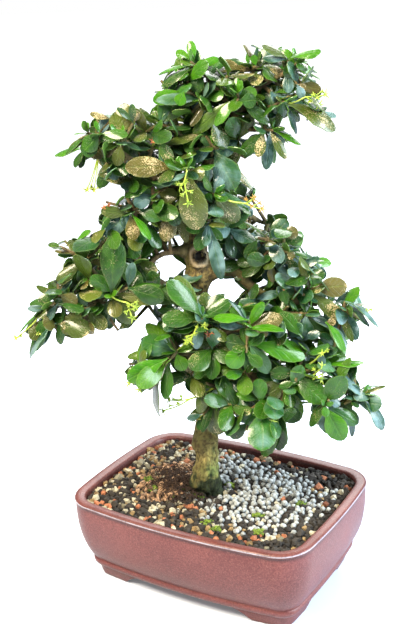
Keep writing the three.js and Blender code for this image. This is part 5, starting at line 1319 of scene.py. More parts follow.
class Spray:
    """A leafy twig: its hubs, the lines that its twigs follow, and its leaves."""

    def __init__(self, row, seed):
        self.name, (limb, index), hubs, self.by_hand = row
        self.seed = seed
        self.hubs = [tree_point(*hub[:3]) for hub in hubs]
        self.counts = [hub[3] for hub in hubs]
        self.parents = [hub[4] if len(hub) > 4 else k - 1 for k, hub in enumerate(hubs)]
        self.wood_middle = tree_point(*LIMBS[limb][index][:3])
        start = self.shoot_start(LIMBS[limb], index)
        self.froms = [start if parent < 0 else self.hubs[parent] for parent in self.parents]
        self.ways = [(hub - at).normalized() for hub, at in zip(self.hubs, self.froms)]
        self.axes = [(way * 0.55 + UP * 0.65).normalized() for way in self.ways]
        self.taken = [0] * len(hubs)
        self.ahead, self.steps, self.leaves, self.extra, self.shoots = [], [], [], [], []
        for k, hub in enumerate(self.hubs):
            leaves = self.counts[k] + sum(leaf[0] == k for leaf in self.by_hand)
            room = (hub - self.froms[k]).length - LEAF_STEP
            ahead = min(max(leaves * LEAF_STEP - room, 0), MOST_AHEAD) if k not in self.parents else 0
            self.ahead.append(ahead)
            self.steps.append(min(LEAF_STEP, (ahead + room) / max(leaves, 1)))
        self.ends = [hub + way * (ahead + 1.5) for hub, way, ahead in zip(self.hubs, self.ways, self.ahead)]

    def shoot_start(self, rows, index):
        """Where the twig stands off the wood in the plain model."""
        point = self.wood_middle
        is_last = index == len(rows) - 1
        other = tree_point(*rows[index - 1 if is_last else index + 1][:3])
        along = ((point - other) if is_last else (other - point)).normalized()
        away = (self.hubs[0] - point).normalized()
        slant = away.dot(along)
        sine = math.sqrt(1 - slant**2)
        if is_last and slant > 0.4:
            return point + away * ((WALL_GAP + SHOOT_RADIUS * sine) / slant)
        return point + away * ((rows[index][3] + WALL_GAP + SHOOT_RADIUS * abs(slant)) / max(sine, 0.35))

    def next_root(self, hub):
        along = self.ahead[hub] - self.steps[hub] * self.taken[hub]
        self.taken[hub] += 1
        return self.hubs[hub] + self.ways[hub] * along

    def leaf_by_hand(self, index, root, attempt):
        hub, angle, length, lean, width, face = self.by_hand[index]
        lean_by, turn_by = HAND_TRIES[attempt]
        turn = math.radians(angle + turn_by)
        tilt = math.radians(lean + lean_by)
        reach = tree_point(math.cos(turn) * math.cos(tilt), -math.sin(tilt), math.sin(turn) * math.cos(tilt))
        show = math.radians(face)
        upper = tree_point(0, -math.sin(show), math.cos(show))
        arch = lerp(0.04, 0.1, draw(self.seed, index, 1))
        return Leaf(root, self.hubs[hub] + reach * length, upper, width, arch)

    def leaf_by_rule(self, hub, index, root, attempt):
        share = index / (self.counts[hub] - 1) if self.counts[hub] > 1 else 0.5
        axis = self.axes[hub]
        turn = 2 * math.pi * draw(self.seed, hub, 2) + GOLDEN_ANGLE * index
        swing = turn + math.radians(RULE_TRIES[attempt])
        opening = math.radians(92 - 44 * share + 24 * (draw(self.seed, hub, index, 3) - 0.5))
        u = Vector((0.3, 0.2, 1))
        u = (u - axis * u.dot(axis)).normalized()
        v = axis.cross(u)
        reach = axis * math.cos(opening) + (u * math.cos(swing) + v * math.sin(swing)) * math.sin(opening)
        towards = reach.dot(BACK)
        if self.by_hand and towards < 0:
            reach -= BACK * (2 * towards)
        size = (1 - 0.25 * share) * (0.8 + 0.35 * draw(self.seed, hub, index, 4)) * 0.95**attempt
        width = LEAF_LENGTH * size * lerp(0.42, 0.52, draw(self.seed, hub, index, 5))
        arch = lerp(0.05, 0.1, draw(self.seed, hub, index, 6))
        return Leaf(root, self.hubs[hub] + reach * (LEAF_LENGTH * size), axis + UP * 0.3, width, arch)

    def grow(self):
        """Keeps each leaf at the turn at which the plain model has its slab."""
        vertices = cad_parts[self.name].data.vertices
        plain = KDTree(len(vertices))
        for vertex in vertices:
            plain.insert((vertex.co - POT_MIDDLE) / MM, vertex.index)
        plain.balance()
        makers = [(self.leaf_by_hand, (index, self.next_root(row[0])), len(HAND_TRIES))
                  for index, row in enumerate(self.by_hand)]
        makers += [(self.leaf_by_rule, (hub, index, self.next_root(hub)), len(RULE_TRIES))
                   for hub, count in enumerate(self.counts) for index in range(count)]
        for make, given, tries in makers:
            for attempt in range(tries):
                leaf = make(*given, attempt)
                if sum(plain.find(corner)[2] < 0.03 for corner in leaf.corners()) >= 2:
                    self.leaves.append(leaf)
                    break


sprays = [Spray(row, seed + 1) for seed, row in enumerate(SPRAYS)]
for spray in sprays:
    spray.grow()
print("leaves found", sum(len(spray.leaves) for spray in sprays), "of",
      sum(len(spray.by_hand) + sum(spray.counts) for spray in sprays))

# %% [markdown]
# ## Side shoots
# The plain model has as many leaves as it can carry. The real pads are denser: between the main twigs stand
# short side shoots, each with a rosette of its own. Their hubs were chosen, like the rest, where the
# photograph is green and the plain model is not. A leaf is kept only where it stays clear of every other
# leaf, which a few points on each blade can tell. The outline of the whole tree, drawn round the photograph
# in its pixels, keeps new leaves from standing out of it, and a leaf that already does is swung back in.

# %% Side shoots
SIDE_SHOOTS = [  # x, y, z of the hub and how many leaves it bears
    (-16, -6, 419, 5), (-21, -4, 408, 6), (-9, -10, 412, 5), (21, -6, 415, 6), (30, -2, 418, 5),
    (47, 0, 421, 6), (54, -4, 413, 5), (57, -8, 406, 4), (72, -4, 428, 6), (80, -6, 420, 5),
    (75, -10, 406, 6), (50, -8, 391, 7), (61, -12, 383, 4), (36, -4, 383, 5), (27, -4, 367, 7),
    (32, -2, 353, 4), (8, -14, 390, 4), (-15, -8, 373, 8), (-20, -4, 363, 5), (-8, -12, 363, 4),
    (-8, -8, 389, 5), (-42, -12, 378, 6), (-76, -16, 392, 4), (-73, -18, 359, 6), (-69, -16, 347, 6),
    (-56, -14, 344, 5), (-66, -20, 325, 6), (-77, -20, 318, 6), (-75, -22, 309, 3), (-44, -16, 315, 6),
    (-41, -18, 324, 4), (-30, -8, 300, 4), (5, -14, 321, 3), (19, 6, 297, 7), (30, 4, 291, 6),
    (41, 0, 285, 5), (34, 8, 309, 4), (65, -10, 298, 4), (-79, -22, 300, 3), (-116, -28, 269, 6),
    (-102, -24, 262, 7), (-93, -22, 269, 5), (-135, -30, 245, 5), (-125, -28, 242, 4), (-115, -26, 249, 4),
    (-98, -28, 230, 5), (-58, -14, 277, 4), (-67, -16, 262, 4), (-39, -6, 268, 4), (-27, -8, 261, 4),
    (42, -6, 276, 7), (49, -8, 267, 6), (29, -2, 271, 4), (31, -10, 249, 5), (56, -14, 250, 5),
    (66, -16, 245, 4), (79, -20, 264, 4), (22, -30, 242, 4), (107, -24, 229, 5), (117, -20, 224, 5),
    (46, -30, 222, 7), (60, -28, 215, 5), (71, -34, 205, 7), (84, -34, 201, 8), (75, -38, 186, 7),
    (94, -30, 207, 4), (-1, -34, 212, 6), (23, -38, 194, 6), (12, -42, 168, 7), (16, -44, 157, 5),
    (21, -44, 146, 3), (43, -44, 174, 6), (59, -44, 181, 5), (52, -48, 152, 5), (78, -48, 150, 4),
    (74, -44, 167, 4), (109, -44, 165, 5), (101, -42, 177, 4), (119, -40, 173, 3), (107, -38, 191, 4),
    (-59, -38, 202, 4), (-59, -36, 183, 4), (-36, -28, 225, 4), (-18, -24, 186, 5), (-16, -20, 167, 4),
    (-12, -8, 408, 5), (9, -6, 417, 5), (49, -10, 387, 4), (-23, -10, 367, 5), (-53, -14, 309, 5),
    (19, -8, 359, 4), (-20, -18, 343, 4), (16, 0, 297, 5), (89, -14, 386, 4), (-57, -36, 205, 4),
    (82, -36, 194, 4), (93, -30, 198, 5), (47, -34, 222, 5), (0, -30, 230, 4), (66, -18, 255, 4),
    (-59, -24, 262, 4), (-43, -20, 257, 4), (-26, -22, 244, 4), (-121, -30, 239, 4), (-118, -30, 228, 3),
    (-112, -24, 297, 4), (-73, -26, 228, 4), (25, 4, 288, 5), (70, -16, 268, 5), (0, 30, 379, 6),
    (9, 30, 355, 6), (-11, 28, 345, 6), (1, 32, 323, 6), (16, 36, 309, 6), (-21, 30, 313, 6),
    (-30, 30, 291, 5), (2, 36, 206, 6), (-19, 32, 192, 6), (13, 38, 188, 6), (33, 42, 185, 6),
    (20, 38, 163, 6), (-4, 34, 170, 6), (42, 36, 201, 6), (23, 36, 271, 6), (45, 40, 278, 6),
    (-51, 34, 233, 5), (-67, 32, 238, 5), (-82, 30, 249, 5), (-42, 28, 358, 6), (-58, 28, 367, 5),
    (36, 24, 405, 6), (54, 22, 418, 6), (69, 22, 401, 5), (-11, 24, 399, 6), (20, 28, 395, 6),
]
PICTURE = (416, 624)
FOCAL_PIXELS = LENS / 36 * PICTURE[1]
FOLIAGE_EDGE = [
    (194, 38), (196, 50), (203, 60), (215, 54), (226, 57), (245, 60), (256, 53), (242, 45), (262, 44),
    (283, 45), (300, 49), (322, 51), (314, 58), (315, 68), (325, 79), (316, 82), (321, 90), (330, 99),
    (324, 104), (343, 113), (334, 118), (335, 130), (327, 122), (303, 113), (303, 125), (293, 119),
    (284, 112), (281, 122), (293, 133), (302, 147), (287, 150), (286, 160), (277, 154), (271, 170),
    (263, 170), (261, 157), (243, 155), (242, 163), (246, 172), (255, 194), (245, 190), (235, 196),
    (250, 202), (267, 208), (252, 212), (246, 221), (265, 228), (275, 221), (288, 220), (304, 235),
    (303, 245), (318, 255), (333, 262), (327, 268), (326, 278), (344, 279), (361, 286), (360, 297),
    (372, 311), (357, 322), (361, 336), (343, 351), (348, 359), (366, 362), (357, 367), (357, 380),
    (388, 385), (376, 393), (385, 401), (381, 408), (386, 432), (368, 416), (361, 412), (355, 441),
    (340, 441), (320, 431), (309, 425), (326, 414), (326, 404), (308, 404), (306, 413), (288, 425),
    (285, 438), (272, 451), (258, 452), (248, 445), (245, 433), (230, 438), (219, 440), (212, 431),
    (197, 428), (196, 422), (186, 415), (195, 400), (185, 390), (176, 382), (170, 396), (163, 400),
    (158, 413), (161, 390), (152, 392), (126, 381), (125, 368), (136, 345), (141, 335), (150, 326),
    (160, 321), (157, 311), (164, 300), (145, 306), (134, 311), (135, 321), (130, 331), (120, 323),
    (111, 316), (111, 329), (90, 333), (82, 338), (64, 338), (61, 344), (53, 334), (44, 343), (30, 357),
    (26, 346), (28, 334), (13, 338), (29, 315), (25, 309), (31, 300), (41, 294), (36, 284), (57, 277),
    (62, 270), (64, 260), (48, 247), (49, 240), (70, 238), (88, 236), (97, 231), (99, 214), (110, 205),
    (124, 195), (120, 180), (112, 184), (104, 190), (98, 184), (97, 166), (90, 157), (76, 162), (77, 152),
    (54, 156), (80, 136), (94, 117), (104, 111), (118, 107), (132, 103), (148, 108), (158, 101), (154, 92),
    (166, 79), (160, 68), (179, 57), (173, 49),
]
# Where light shows through between the pads
LIGHT_GAPS = [
    [(152, 249), (160, 262), (153, 271), (164, 277), (188, 272), (190, 261), (172, 264), (163, 250)],
    [(206, 292), (214, 283), (226, 279), (238, 283), (246, 293), (238, 299), (222, 293), (208, 295)],
]
SPARE = 0.007  # how far, in metres, a new leaf may stand out of the plain model's box
CLEAR = 2.2  # between points of two leaves, in mm
TRIES = 9
MOST_REACH = 38


def seen_at(point):
    """Where the photograph shows a point, in its pixels."""
    x, y, z = to_camera @ Vector(placed(point)[0])
    return PICTURE[0] / 2 - FOCAL_PIXELS * x / z, PICTURE[1] / 2 + FOCAL_PIXELS * y / z


def encloses(outline, u, v):
    """Whether an outline goes round a point."""
    inside = False
    for (ax, ay), (bx, by) in zip(outline, outline[1:] + outline[:1]):
        if (ay > v) != (by > v) and u < ax + (bx - ax) * (v - ay) / (by - ay):
            inside = not inside
    return inside


def in_the_box(leaf):
    """Whether a leaf stays close to the plain model's box."""
    return all(low - SPARE < at < high + SPARE for corner in placed(leaf.feelers())
               for low, at, high in zip(cad_box[0], corner, cad_box[1]))


def outside(leaf):
    """How many of a leaf's feelers show where the photograph has no foliage."""
    spots = [seen_at(spot) for spot in leaf.feelers()]
    return sum(not encloses(FOLIAGE_EDGE, *spot) or any(encloses(gap, *spot) for gap in LIGHT_GAPS)
               for spot in spots)


def tuck(leaf):
    """Swings a leaf that stands out of the tree's outline back in, and shortens it if it must."""
    first = outside(leaf)
    if first < 2:
        return False
    best = (first, leaf.tip, leaf.upper)
    view = (leaf.root - tree_point(*EYE)).normalized()
    for share in (1, 0.88, 0.76):
        for degrees in (0, 9, -9, 18, -18, 27, -27, 36, -36):
            swing = Matrix.Rotation(math.radians(degrees), 3, view)
            tip = leaf.root + swing @ (leaf.tip - leaf.root) * share
            tried = Leaf(leaf.root, tip, swing @ leaf.upper, leaf.width * share, leaf.arch)
            left_out = outside(tried)
            if left_out < best[0]:
                best = (left_out, tip, tried.upper)
    leaf.tip, leaf.upper = best[1:]
    return best[0] < first


class Crowd:
    """All the blades so far, as points that a new one must keep off."""

    def __init__(self, leaves):
        self.spots = np.array([spot for leaf in leaves for spot in leaf.feelers()])

    def near(self, point):
        """A smaller crowd: only what a leaf at this point could meet."""
        inner = Crowd([])
        inner.spots = self.spots[((self.spots - np.array(point)) ** 2).sum(axis=1) < MOST_REACH**2]
        return inner

    def add(self, leaves):
        new = [np.array(leaf.feelers()) for leaf in leaves]
        self.spots = np.concatenate([self.spots.reshape(-1, 3)] + new)

    def admits(self, leaf):
        new = np.array(leaf.feelers())
        if len(self.spots) and ((self.spots[:, None] - new) ** 2).sum(axis=2).min() < CLEAR**2:
            return False
        self.add([leaf])
        return True


def splayed(axis, turn, opening):
    """A direction that opens away from an axis, turned round it."""
    swung = Matrix.Rotation(turn, 3, axis) @ axis.orthogonal().normalized()
    return axis * math.cos(opening) + swung * math.sin(opening)


def rosette(hub, axis, count, low, high, chance, crowd):
    """Leaves round a hub by the golden angle, each at the first free turn."""
    found = []
    inner = crowd.near(hub)
    first = chance.uniform(0, 6.3)
    for index in range(count):
        for attempt in range(TRIES):
            swing = first + GOLDEN_ANGLE * index + chance.uniform(-0.6, 0.6) * (attempt + 1)
            reach = splayed(axis, swing, math.radians(chance.uniform(38, 100)))
            length = chance.uniform(low, high) * 0.95**attempt
            upper = axis * 0.7 + UP * 0.5 - BACK * 0.25
            width = length * chance.uniform(0.44, 0.6)
            arch = chance.uniform(0.03, 0.1)
            leaf = Leaf(hub - axis * (1.2 * index), hub + reach * length, upper, width, arch)
            if outside(leaf) == 0 and in_the_box(leaf) and inner.admits(leaf):
                found.append(leaf)
                break
    crowd.add(found)
    return found


print("side shoots", len(SIDE_SHOOTS))

# %% [markdown]
# ## Leaves traced one by one
# Most leaves in front can be told apart in the photograph. Each is noted by where its tip shows, in the
# picture's pixels, the width that shows and its colour, under the point that its rosette grows from. How
# deep in the tree a rosette stands is not to be seen, so it takes the depth of the twig that shows
# nearest to it, and a leaf that shows narrow is turned edge on. Where the plain model already has that
# leaf, only its colour is taken over.

# %% Traced leaves
# Colour: fresh, green, dark, olive, cream or blue, as how young the leaf is and what its shade is. A cream
# leaf carries painted cream highlight specks, a blue one a painted bluish sheen.
LOOKS = {"f": (0.85, 0.5), "g": (0.26, 0.5), "d": (0.0, 0.5), "o": (0.05, 0.78), "c": (0.0, 1.0),
         "b": (0.0, 0.0)}
ROSETTES = [
    ((197, 68), [(174, 50, 14, "f"), (214, 54, 9, "o"), (213, 62, 8, "f"), (158, 72, 5, "d"),
     (163, 75, 6, "f"), (163, 85, 6, "d")]),
    ((191, 51), [(194, 38, 6, "f"), (187, 45, 4, "f")]),
    ((199, 77), [(197, 94, 13, "d")]),
    ((184, 91), [(153, 101, 14, "f"), (178, 105, 12, "f"), (163, 98, 8, "o")]),
    ((222, 90), [(203, 94, 12, "f"), (208, 83, 7, "d")]),
    ((188, 112), [(150, 114, 19, "g"), (158, 106, 6, "d")]),
    ((214, 105), [(193, 133, 17, "c")]),
    ((238, 101), [(214, 125, 9, "f"), (236, 79, 6, "f"), (256, 100, 15, "d")]),
    ((250, 104), [(266, 127, 20, "d")]),
    ((243, 71), [(215, 73, 12, "c"), (223, 61, 8, "c"), (240, 59, 8, "o")]),
    ((256, 66), [(253, 55, 7, "f"), (243, 45, 4, "c"), (262, 62, 6, "o")]),
    ((288, 60), [(262, 46, 7, "o"), (263, 59, 7, "b"), (283, 45, 7, "f"), (315, 49, 5, "d"),
     (321, 52, 6, "f")]),
    ((296, 69), [(313, 76, 14, "f"), (283, 73, 12, "d"), (324, 79, 7, "g"), (291, 90, 11, "b")]),
    ((297, 84), [(321, 90, 11, "c"), (303, 98, 9, "b")]),
    ((284, 104), [(336, 129, 13, "o"), (328, 121, 7, "f"), (303, 122, 6, "d"), (296, 134, 7, "b")]),
    ((264, 131), [(302, 145, 9, "f"), (284, 143, 6, "b"), (285, 159, 9, "o"), (266, 169, 11, "b"),
     (275, 163, 8, "d"), (258, 157, 11, "o"), (243, 155, 13, "d")]),
    ((206, 136), [(188, 161, 11, "g"), (182, 164, 8, "b"), (166, 144, 10, "o")]),
    ((133, 123), [(117, 108, 6, "d"), (132, 104, 7, "d"), (113, 115, 13, "c"), (138, 111, 8, "c")]),
    ((111, 120), [(90, 114, 6, "c")]),
    ((100, 134), [(95, 121, 5, "f"), (88, 132, 6, "d"), (115, 121, 9, "b"), (76, 138, 5, "c"),
     (84, 150, 17, "g"), (128, 135, 10, "g")]),
    ((87, 149), [(55, 156, 5, "f"), (74, 167, 5, "d"), (80, 168, 6, "d")]),
    ((103, 147), [(139, 150, 8, "o")]),
    ((115, 159), [(133, 157, 13, "b")]),
    ((113, 167), [(101, 177, 9, "c"), (98, 187, 12, "d"), (136, 184, 9, "o")]),
    ((177, 167), [(123, 170, 18, "c"), (160, 178, 8, "c")]),
    ((152, 186), [(132, 202, 12, "b"), (145, 206, 6, "g"), (125, 197, 9, "g"), (166, 182, 9, "g")]),
    ((130, 214), [(101, 211, 12, "o"), (100, 236, 13, "b"), (134, 240, 14, "c"), (150, 240, 7, "f"),
     (145, 232, 6, "b"), (136, 228, 9, "o")]),
    ((170, 204), [(160, 218, 11, "b"), (163, 244, 18, "c"), (177, 226, 14, "d")]),
    ((76, 242), [(49, 247, 5, "f"), (91, 231, 4, "f"), (91, 240, 5, "o")]),
    ((86, 262), [(56, 253, 6, "c"), (57, 258, 6, "c"), (94, 243, 9, "g"), (101, 246, 6, "d")]),
    ((83, 272), [(56, 281, 12, "o"), (107, 268, 11, "c")]),
    ((106, 270), [(83, 278, 11, "b")]),
    ((59, 294), [(37, 284, 12, "o"), (38, 300, 10, "d"), (72, 281, 5, "b"), (77, 304, 15, "c")]),
    ((58, 304), [(26, 309, 11, "b"), (35, 318, 9, "o"), (46, 321, 8, "b"), (84, 311, 9, "d")]),
    ((44, 322), [(19, 330, 5, "f"), (18, 334, 5, "f")]),
    ((57, 323), [(34, 346, 12, "b"), (29, 358, 6, "b"), (61, 344, 8, "d"), (90, 331, 20, "o")]),
    ((102, 292), [(79, 310, 17, "c")]),
    ((109, 286), [(91, 277, 13, "g"), (93, 296, 13, "f"), (111, 233, 24, "d")]),
    ((107, 303), [(104, 323, 12, "d"), (119, 319, 7, "f"), (131, 330, 15, "o"), (110, 329, 13, "d")]),
    ((128, 288), [(164, 299, 20, "d"), (160, 286, 9, "g"), (133, 263, 10, "b")]),
    ((151, 264), [(145, 280, 12, "d"), (158, 268, 12, "o")]),
    ((137, 240), [(150, 242, 5, "d"), (133, 259, 13, "g")]),
    ((209, 233), [(221, 279, 14, "b")]),
    ((238, 197), [(235, 226, 15, "b"), (252, 216, 9, "b"), (222, 224, 12, "b")]),
    ((266, 231), [(243, 220, 5, "d"), (250, 232, 6, "b")]),
    ((284, 238), [(297, 229, 13, "c"), (303, 241, 10, "f"), (301, 247, 5, "d"), (271, 231, 10, "b")]),
    ((287, 252), [(307, 257, 7, "g"), (294, 258, 9, "c")]),
    ((258, 238), [(287, 262, 14, "b"), (246, 259, 12, "d")]),
    ((270, 262), [(299, 277, 13, "b"), (247, 258, 15, "d"), (273, 282, 9, "c")]),
    ((266, 287), [(239, 299, 11, "d")]),
    ((304, 266), [(326, 277, 14, "b"), (334, 262, 4, "f"), (293, 262, 6, "f")]),
    ((303, 295), [(345, 287, 18, "c"), (342, 317, 12, "o"), (312, 277, 7, "f"), (296, 282, 8, "b")]),
    ((345, 302), [(361, 284, 9, "f"), (366, 303, 6, "o"), (369, 327, 7, "b"), (379, 327, 4, "b"),
     (358, 338, 14, "b")]),
    ((303, 338), [(305, 311, 19, "d"), (281, 312, 14, "g"), (320, 333, 9, "b")]),
    ((288, 306), [(282, 291, 10, "d"), (277, 287, 6, "b")]),
    ((325, 322), [(337, 343, 5, "f"), (346, 348, 11, "b"), (345, 352, 9, "f"), (336, 322, 8, "c")]),
    ((202, 318), [(168, 281, 17, "g"), (162, 321, 17, "g"), (216, 293, 13, "d"), (229, 303, 12, "g")]),
    ((249, 321), [(229, 300, 6, "f"), (230, 307, 9, "b"), (265, 302, 9, "f"), (214, 318, 9, "f"),
     (283, 320, 13, "c")]),
    ((246, 330), [(215, 325, 9, "b"), (222, 347, 17, "d"), (268, 334, 10, "c"), (284, 330, 9, "f")]),
    ((219, 343), [(185, 351, 9, "f"), (216, 329, 7, "c")]),
    ((268, 347), [(309, 359, 14, "c"), (283, 342, 9, "c")]),
    ((168, 358), [(127, 380, 19, "f"), (147, 391, 13, "c"), (166, 398, 13, "g"), (157, 416, 6, "o")]),
    ((214, 361), [(184, 381, 16, "o"), (195, 368, 10, "d")]),
    ((206, 383), [(193, 399, 12, "d"), (199, 413, 11, "o"), (209, 398, 12, "d")]),
    ((246, 353), [(230, 369, 15, "f"), (262, 366, 12, "g")]),
    ((225, 383), [(212, 415, 10, "f"), (222, 408, 14, "g"), (236, 405, 13, "d")]),
    ((244, 384), [(243, 423, 19, "b"), (262, 372, 14, "g"), (254, 391, 14, "g")]),
    ((216, 405), [(220, 434, 12, "o"), (233, 420, 11, "d")]),
    ((248, 422), [(231, 438, 13, "d")]),
    ((203, 414), [(187, 419, 7, "b"), (199, 430, 8, "g"), (208, 413, 4, "f")]),
    ((281, 402), [(280, 450, 15, "d"), (262, 456, 20, "g"), (298, 421, 19, "d"), (285, 423, 15, "d")]),
    ((296, 382), [(271, 371, 12, "d"), (265, 393, 12, "o"), (322, 402, 19, "g"), (279, 387, 8, "g")]),
    ((329, 400), [(341, 374, 21, "g"), (344, 440, 20, "f"), (309, 426, 11, "d"), (340, 405, 9, "b")]),
    ((344, 404), [(357, 425, 12, "d"), (353, 439, 4, "b")]),
    ((362, 399), [(389, 385, 6, "o"), (384, 404, 14, "f"), (384, 429, 10, "b")]),
    ((324, 368), [(364, 363, 7, "f"), (362, 394, 10, "b"), (320, 355, 8, "b"), (305, 366, 7, "g")]),
]
MATCH = 8  # pixels within which a leaf of the plain model is the one that was traced
DEPTH_TRIES = (-3, -8, 2, -13, 7, -18, 12)


def at_pixel(u, v, depth):
    """The point of the tree that shows at a pixel, at a depth behind the pot's middle."""
    ray = turned @ Vector((u - PICTURE[0] / 2, PICTURE[1] / 2 - v, -FOCAL_PIXELS))
    eye = tree_point(*EYE)
    return eye + ray * ((depth - eye.dot(BACK)) / ray.dot(BACK))


def traced(base, tip, width, look, depth, lean):
    """A leaf between two pixels, turned so that it shows as wide as it should."""
    root = at_pixel(*base, depth)
    length = (at_pixel(*tip, depth) - root).length
    end = at_pixel(*tip, depth + lean * length)
    way = (end - root).normalized()
    to_eye = (tree_point(*EYE) - root).normalized()
    shown = width * (tree_point(*EYE) - root).length / FOCAL_PIXELS
    broad = max(shown, 0.4 * length)
    ahead = (to_eye - way * to_eye.dot(way)).normalized()
    over = way.cross(ahead) * (1 if way.cross(ahead).z > 0 else -1)
    facing = shown / broad
    upper = ahead * facing + over * math.sqrt(1 - facing**2)
    return Leaf(root, end, upper, broad, 0.04 + 0.1 * (1 - facing), LOOKS[look])


def same_leaf(base, tip):
    """The plain model's leaf that shows where a traced one does, if there is one."""
    return next((leaf for leaf, foot, end in shown_leaves
                 if math.dist(end, tip) < MATCH and math.dist(foot, base) < 2 * MATCH), None)


grown = [leaf for spray in sprays for leaf in spray.leaves]
print("leaves tucked in", sum(tuck(leaf) for leaf in grown))
crowd = Crowd(grown)
shown_leaves = [(leaf, seen_at(leaf.root), seen_at(leaf.tip)) for leaf in grown]
shown_hubs = [(seen_at(hub), hub, spray) for spray in sprays for hub in spray.hubs]
chance = random.Random(5)
matched = 0
for base, rows in ROSETTES:
    _, hub, owner = min(shown_hubs, key=lambda row: math.dist(row[0], base))
    twig_end = None
    for u, v, width, look in rows:
        known = same_leaf(base, (u, v))
        if known:
            known.look = LOOKS[look]
            matched += 1
            continue
        lean = chance.uniform(-0.3, 0.15)
        for shift in DEPTH_TRIES:
            leaf = traced(base, (u, v), width, look, hub.dot(BACK) + shift, lean)
            if crowd.admits(leaf):
                break
        owner.extra.append(leaf)
        twig_end = twig_end or leaf.root
    if twig_end and (twig_end - hub).length > 3:
        owner.shoots.append((hub, twig_end))
print("leaves traced", sum(len(rows) for _, rows in ROSETTES), "of which known", matched)

# %% [markdown]
# ## Filling in
# What stands behind and between the traced leaves is filled with rosettes, in a first row and in a
# second one further back, so that no light shows through the pads.

# %% Filling in
SMALL_LEAVES = 3
BEHIND = (14, 30)  # how far behind the first rows a second one stands


def side_shoot(hub, count, to_viewer):
    """A short twig from the nearest hub or limb, with a rosette at its end."""
    owner, from_hub = min(((spray, k) for spray in sprays for k in range(len(spray.hubs))),
                          key=lambda pair: (pair[0].hubs[pair[1]] - hub).length)
    start = owner.hubs[from_hub]
    limb_point, _, gap = finder.find(hub)
    if gap < (start - hub).length:
        start = limb_point
    axis = ((hub - start).normalized() * 0.5 + UP * 0.45 - BACK * to_viewer).normalized()
    found = rosette(hub, axis, count, 18, 29, chance, crowd)
    if found:
        owner.shoots.append((start, hub))
        owner.extra += found


chance = random.Random(21)
for x, y, z, count in SIDE_SHOOTS:
    side_shoot(tree_point(x, y, z), count, 0.35 if y < 20 else -0.3)
for spray in sprays:
    for hub, axis in zip(spray.hubs, spray.axes):
        spray.extra += rosette(hub, axis, SMALL_LEAVES, 14, 22, chance, crowd)
for hub in [tree_point(*row[:3]) for row in SIDE_SHOOTS] + [hub for spray in sprays for hub in spray.hubs]:
    aside = tree_point(chance.uniform(-9, 9), chance.uniform(*BEHIND), chance.uniform(-7, 7))
    side_shoot(hub + aside, 5, -0.25)
print("leaves added", sum(len(spray.extra) for spray in sprays))

# %% [markdown]
# ## One leaf
# A fukien tea leaf is shaped like a spoon: a narrow foot, widest past the middle, with a blunt round
# tip with a notch on either side. It is leathery and stands up between a sunken midrib and turned-down
# edges. One flat pattern is enough for all of them: a small grid whose rows are drawn in to the outline,
# given a thickness. Every copy is then bent its own way.

# %% Leaf pattern
# Share of the length, share of half the width
LEAF_OUTLINE = [(0, 0.08), (0.12, 0.14), (0.27, 0.47), (0.43, 0.84), (0.58, 1.0), (0.73, 0.97), (0.84, 0.84),
                (0.875, 0.7), (0.95, 0.5), (1, 0.14)]
LEAF_COLUMNS = 4


def blade_pattern(outline, columns):
    """A flat blade from y = 0 to 1, x = -1 to 1 and one unit thick."""
    rows = len(outline) - 1

    def drawn_in(x, y, z):
        share, width = outline[round((y + 1) / 2 * rows)]
        return x * width, share, 0

    piece = fresh(bpy.ops.mesh.primitive_grid_add, x_subdivisions=columns, y_subdivisions=rows, size=2)
    with edit_mode():
        move_points(piece, drawn_in)
    return applied(piece, "SOLIDIFY", thickness=1, offset=0)


pattern_leaf = blade_pattern(LEAF_OUTLINE, LEAF_COLUMNS)
flat_leaf = points_of(pattern_leaf)
print("leaf pattern", len(pattern_leaf.data.polygons), "faces")

# %% [markdown]
# ## Bending a leaf into its place
# The pattern's length runs along the leaf's own arch, and its width across it. A draw settles how far
# the edges turn down, how the blade twists and how its margin waves, so that no two are alike and each
# still lies over its slab.

# %% Bending
LEAF_THICKNESS = 0.5
MIDRIB_DEPTH = 0.07


def bent(flat, leaf, key, thickness=LEAF_THICKNESS):
    """The points of one blade. The key settles its small differences."""
    across, share, rise = flat.T
    along, normal, side = (np.array(axis) for axis in leaf.axes())
    half = leaf.width / 2 * 1.03
    length = np.linalg.norm(along)
    curl = lerp(0.12, 0.42, draw(key, 1))
    twist = lerp(-0.45, 0.45, draw(key, 2)) * (share - 0.2)
    wave = 0.07 * np.sin(2 * math.pi * (lerp(1.5, 2.6, draw(key, 3)) * share + draw(key, 4)))
    hang = lerp(-0.02, 0.05, draw(key, 5)) * length * np.clip(share - 0.55, 0, 1) ** 2 * 5
    cross = half * (MIDRIB_DEPTH * (abs(across) > 0.04) + (wave - curl) * across**2)
    lift = leaf.arch * length * 4 * share * (1 - share) - hang + cross
    lift = lift + rise * thickness * (1 + 0.8 * np.exp(-share / 0.08))
    sideways = np.outer(np.cos(twist), side) + np.outer(np.sin(twist), normal)
    middle = np.array(leaf.root) + np.outer(share, along)
    return middle + np.outer(lift, normal) + sideways * (across * half)[:, None]


print("a blade has", len(flat_leaf), "points")

# %% [markdown]
# ## Leaf finish
# The upper face is a dark, glossy green with a pebbled skin. On older leaves the tops of the pebbles carry
# painted cream highlight specks in patches, some leaves are bronzed and some carry a painted bluish sheen in
# patches. Young leaves are a bright yellow-green and smoother. The midrib and side veins follow the leaf, so
# they are drawn on its UV map: across the blade is one axis and along it the other. The under face is paler
# and dull.

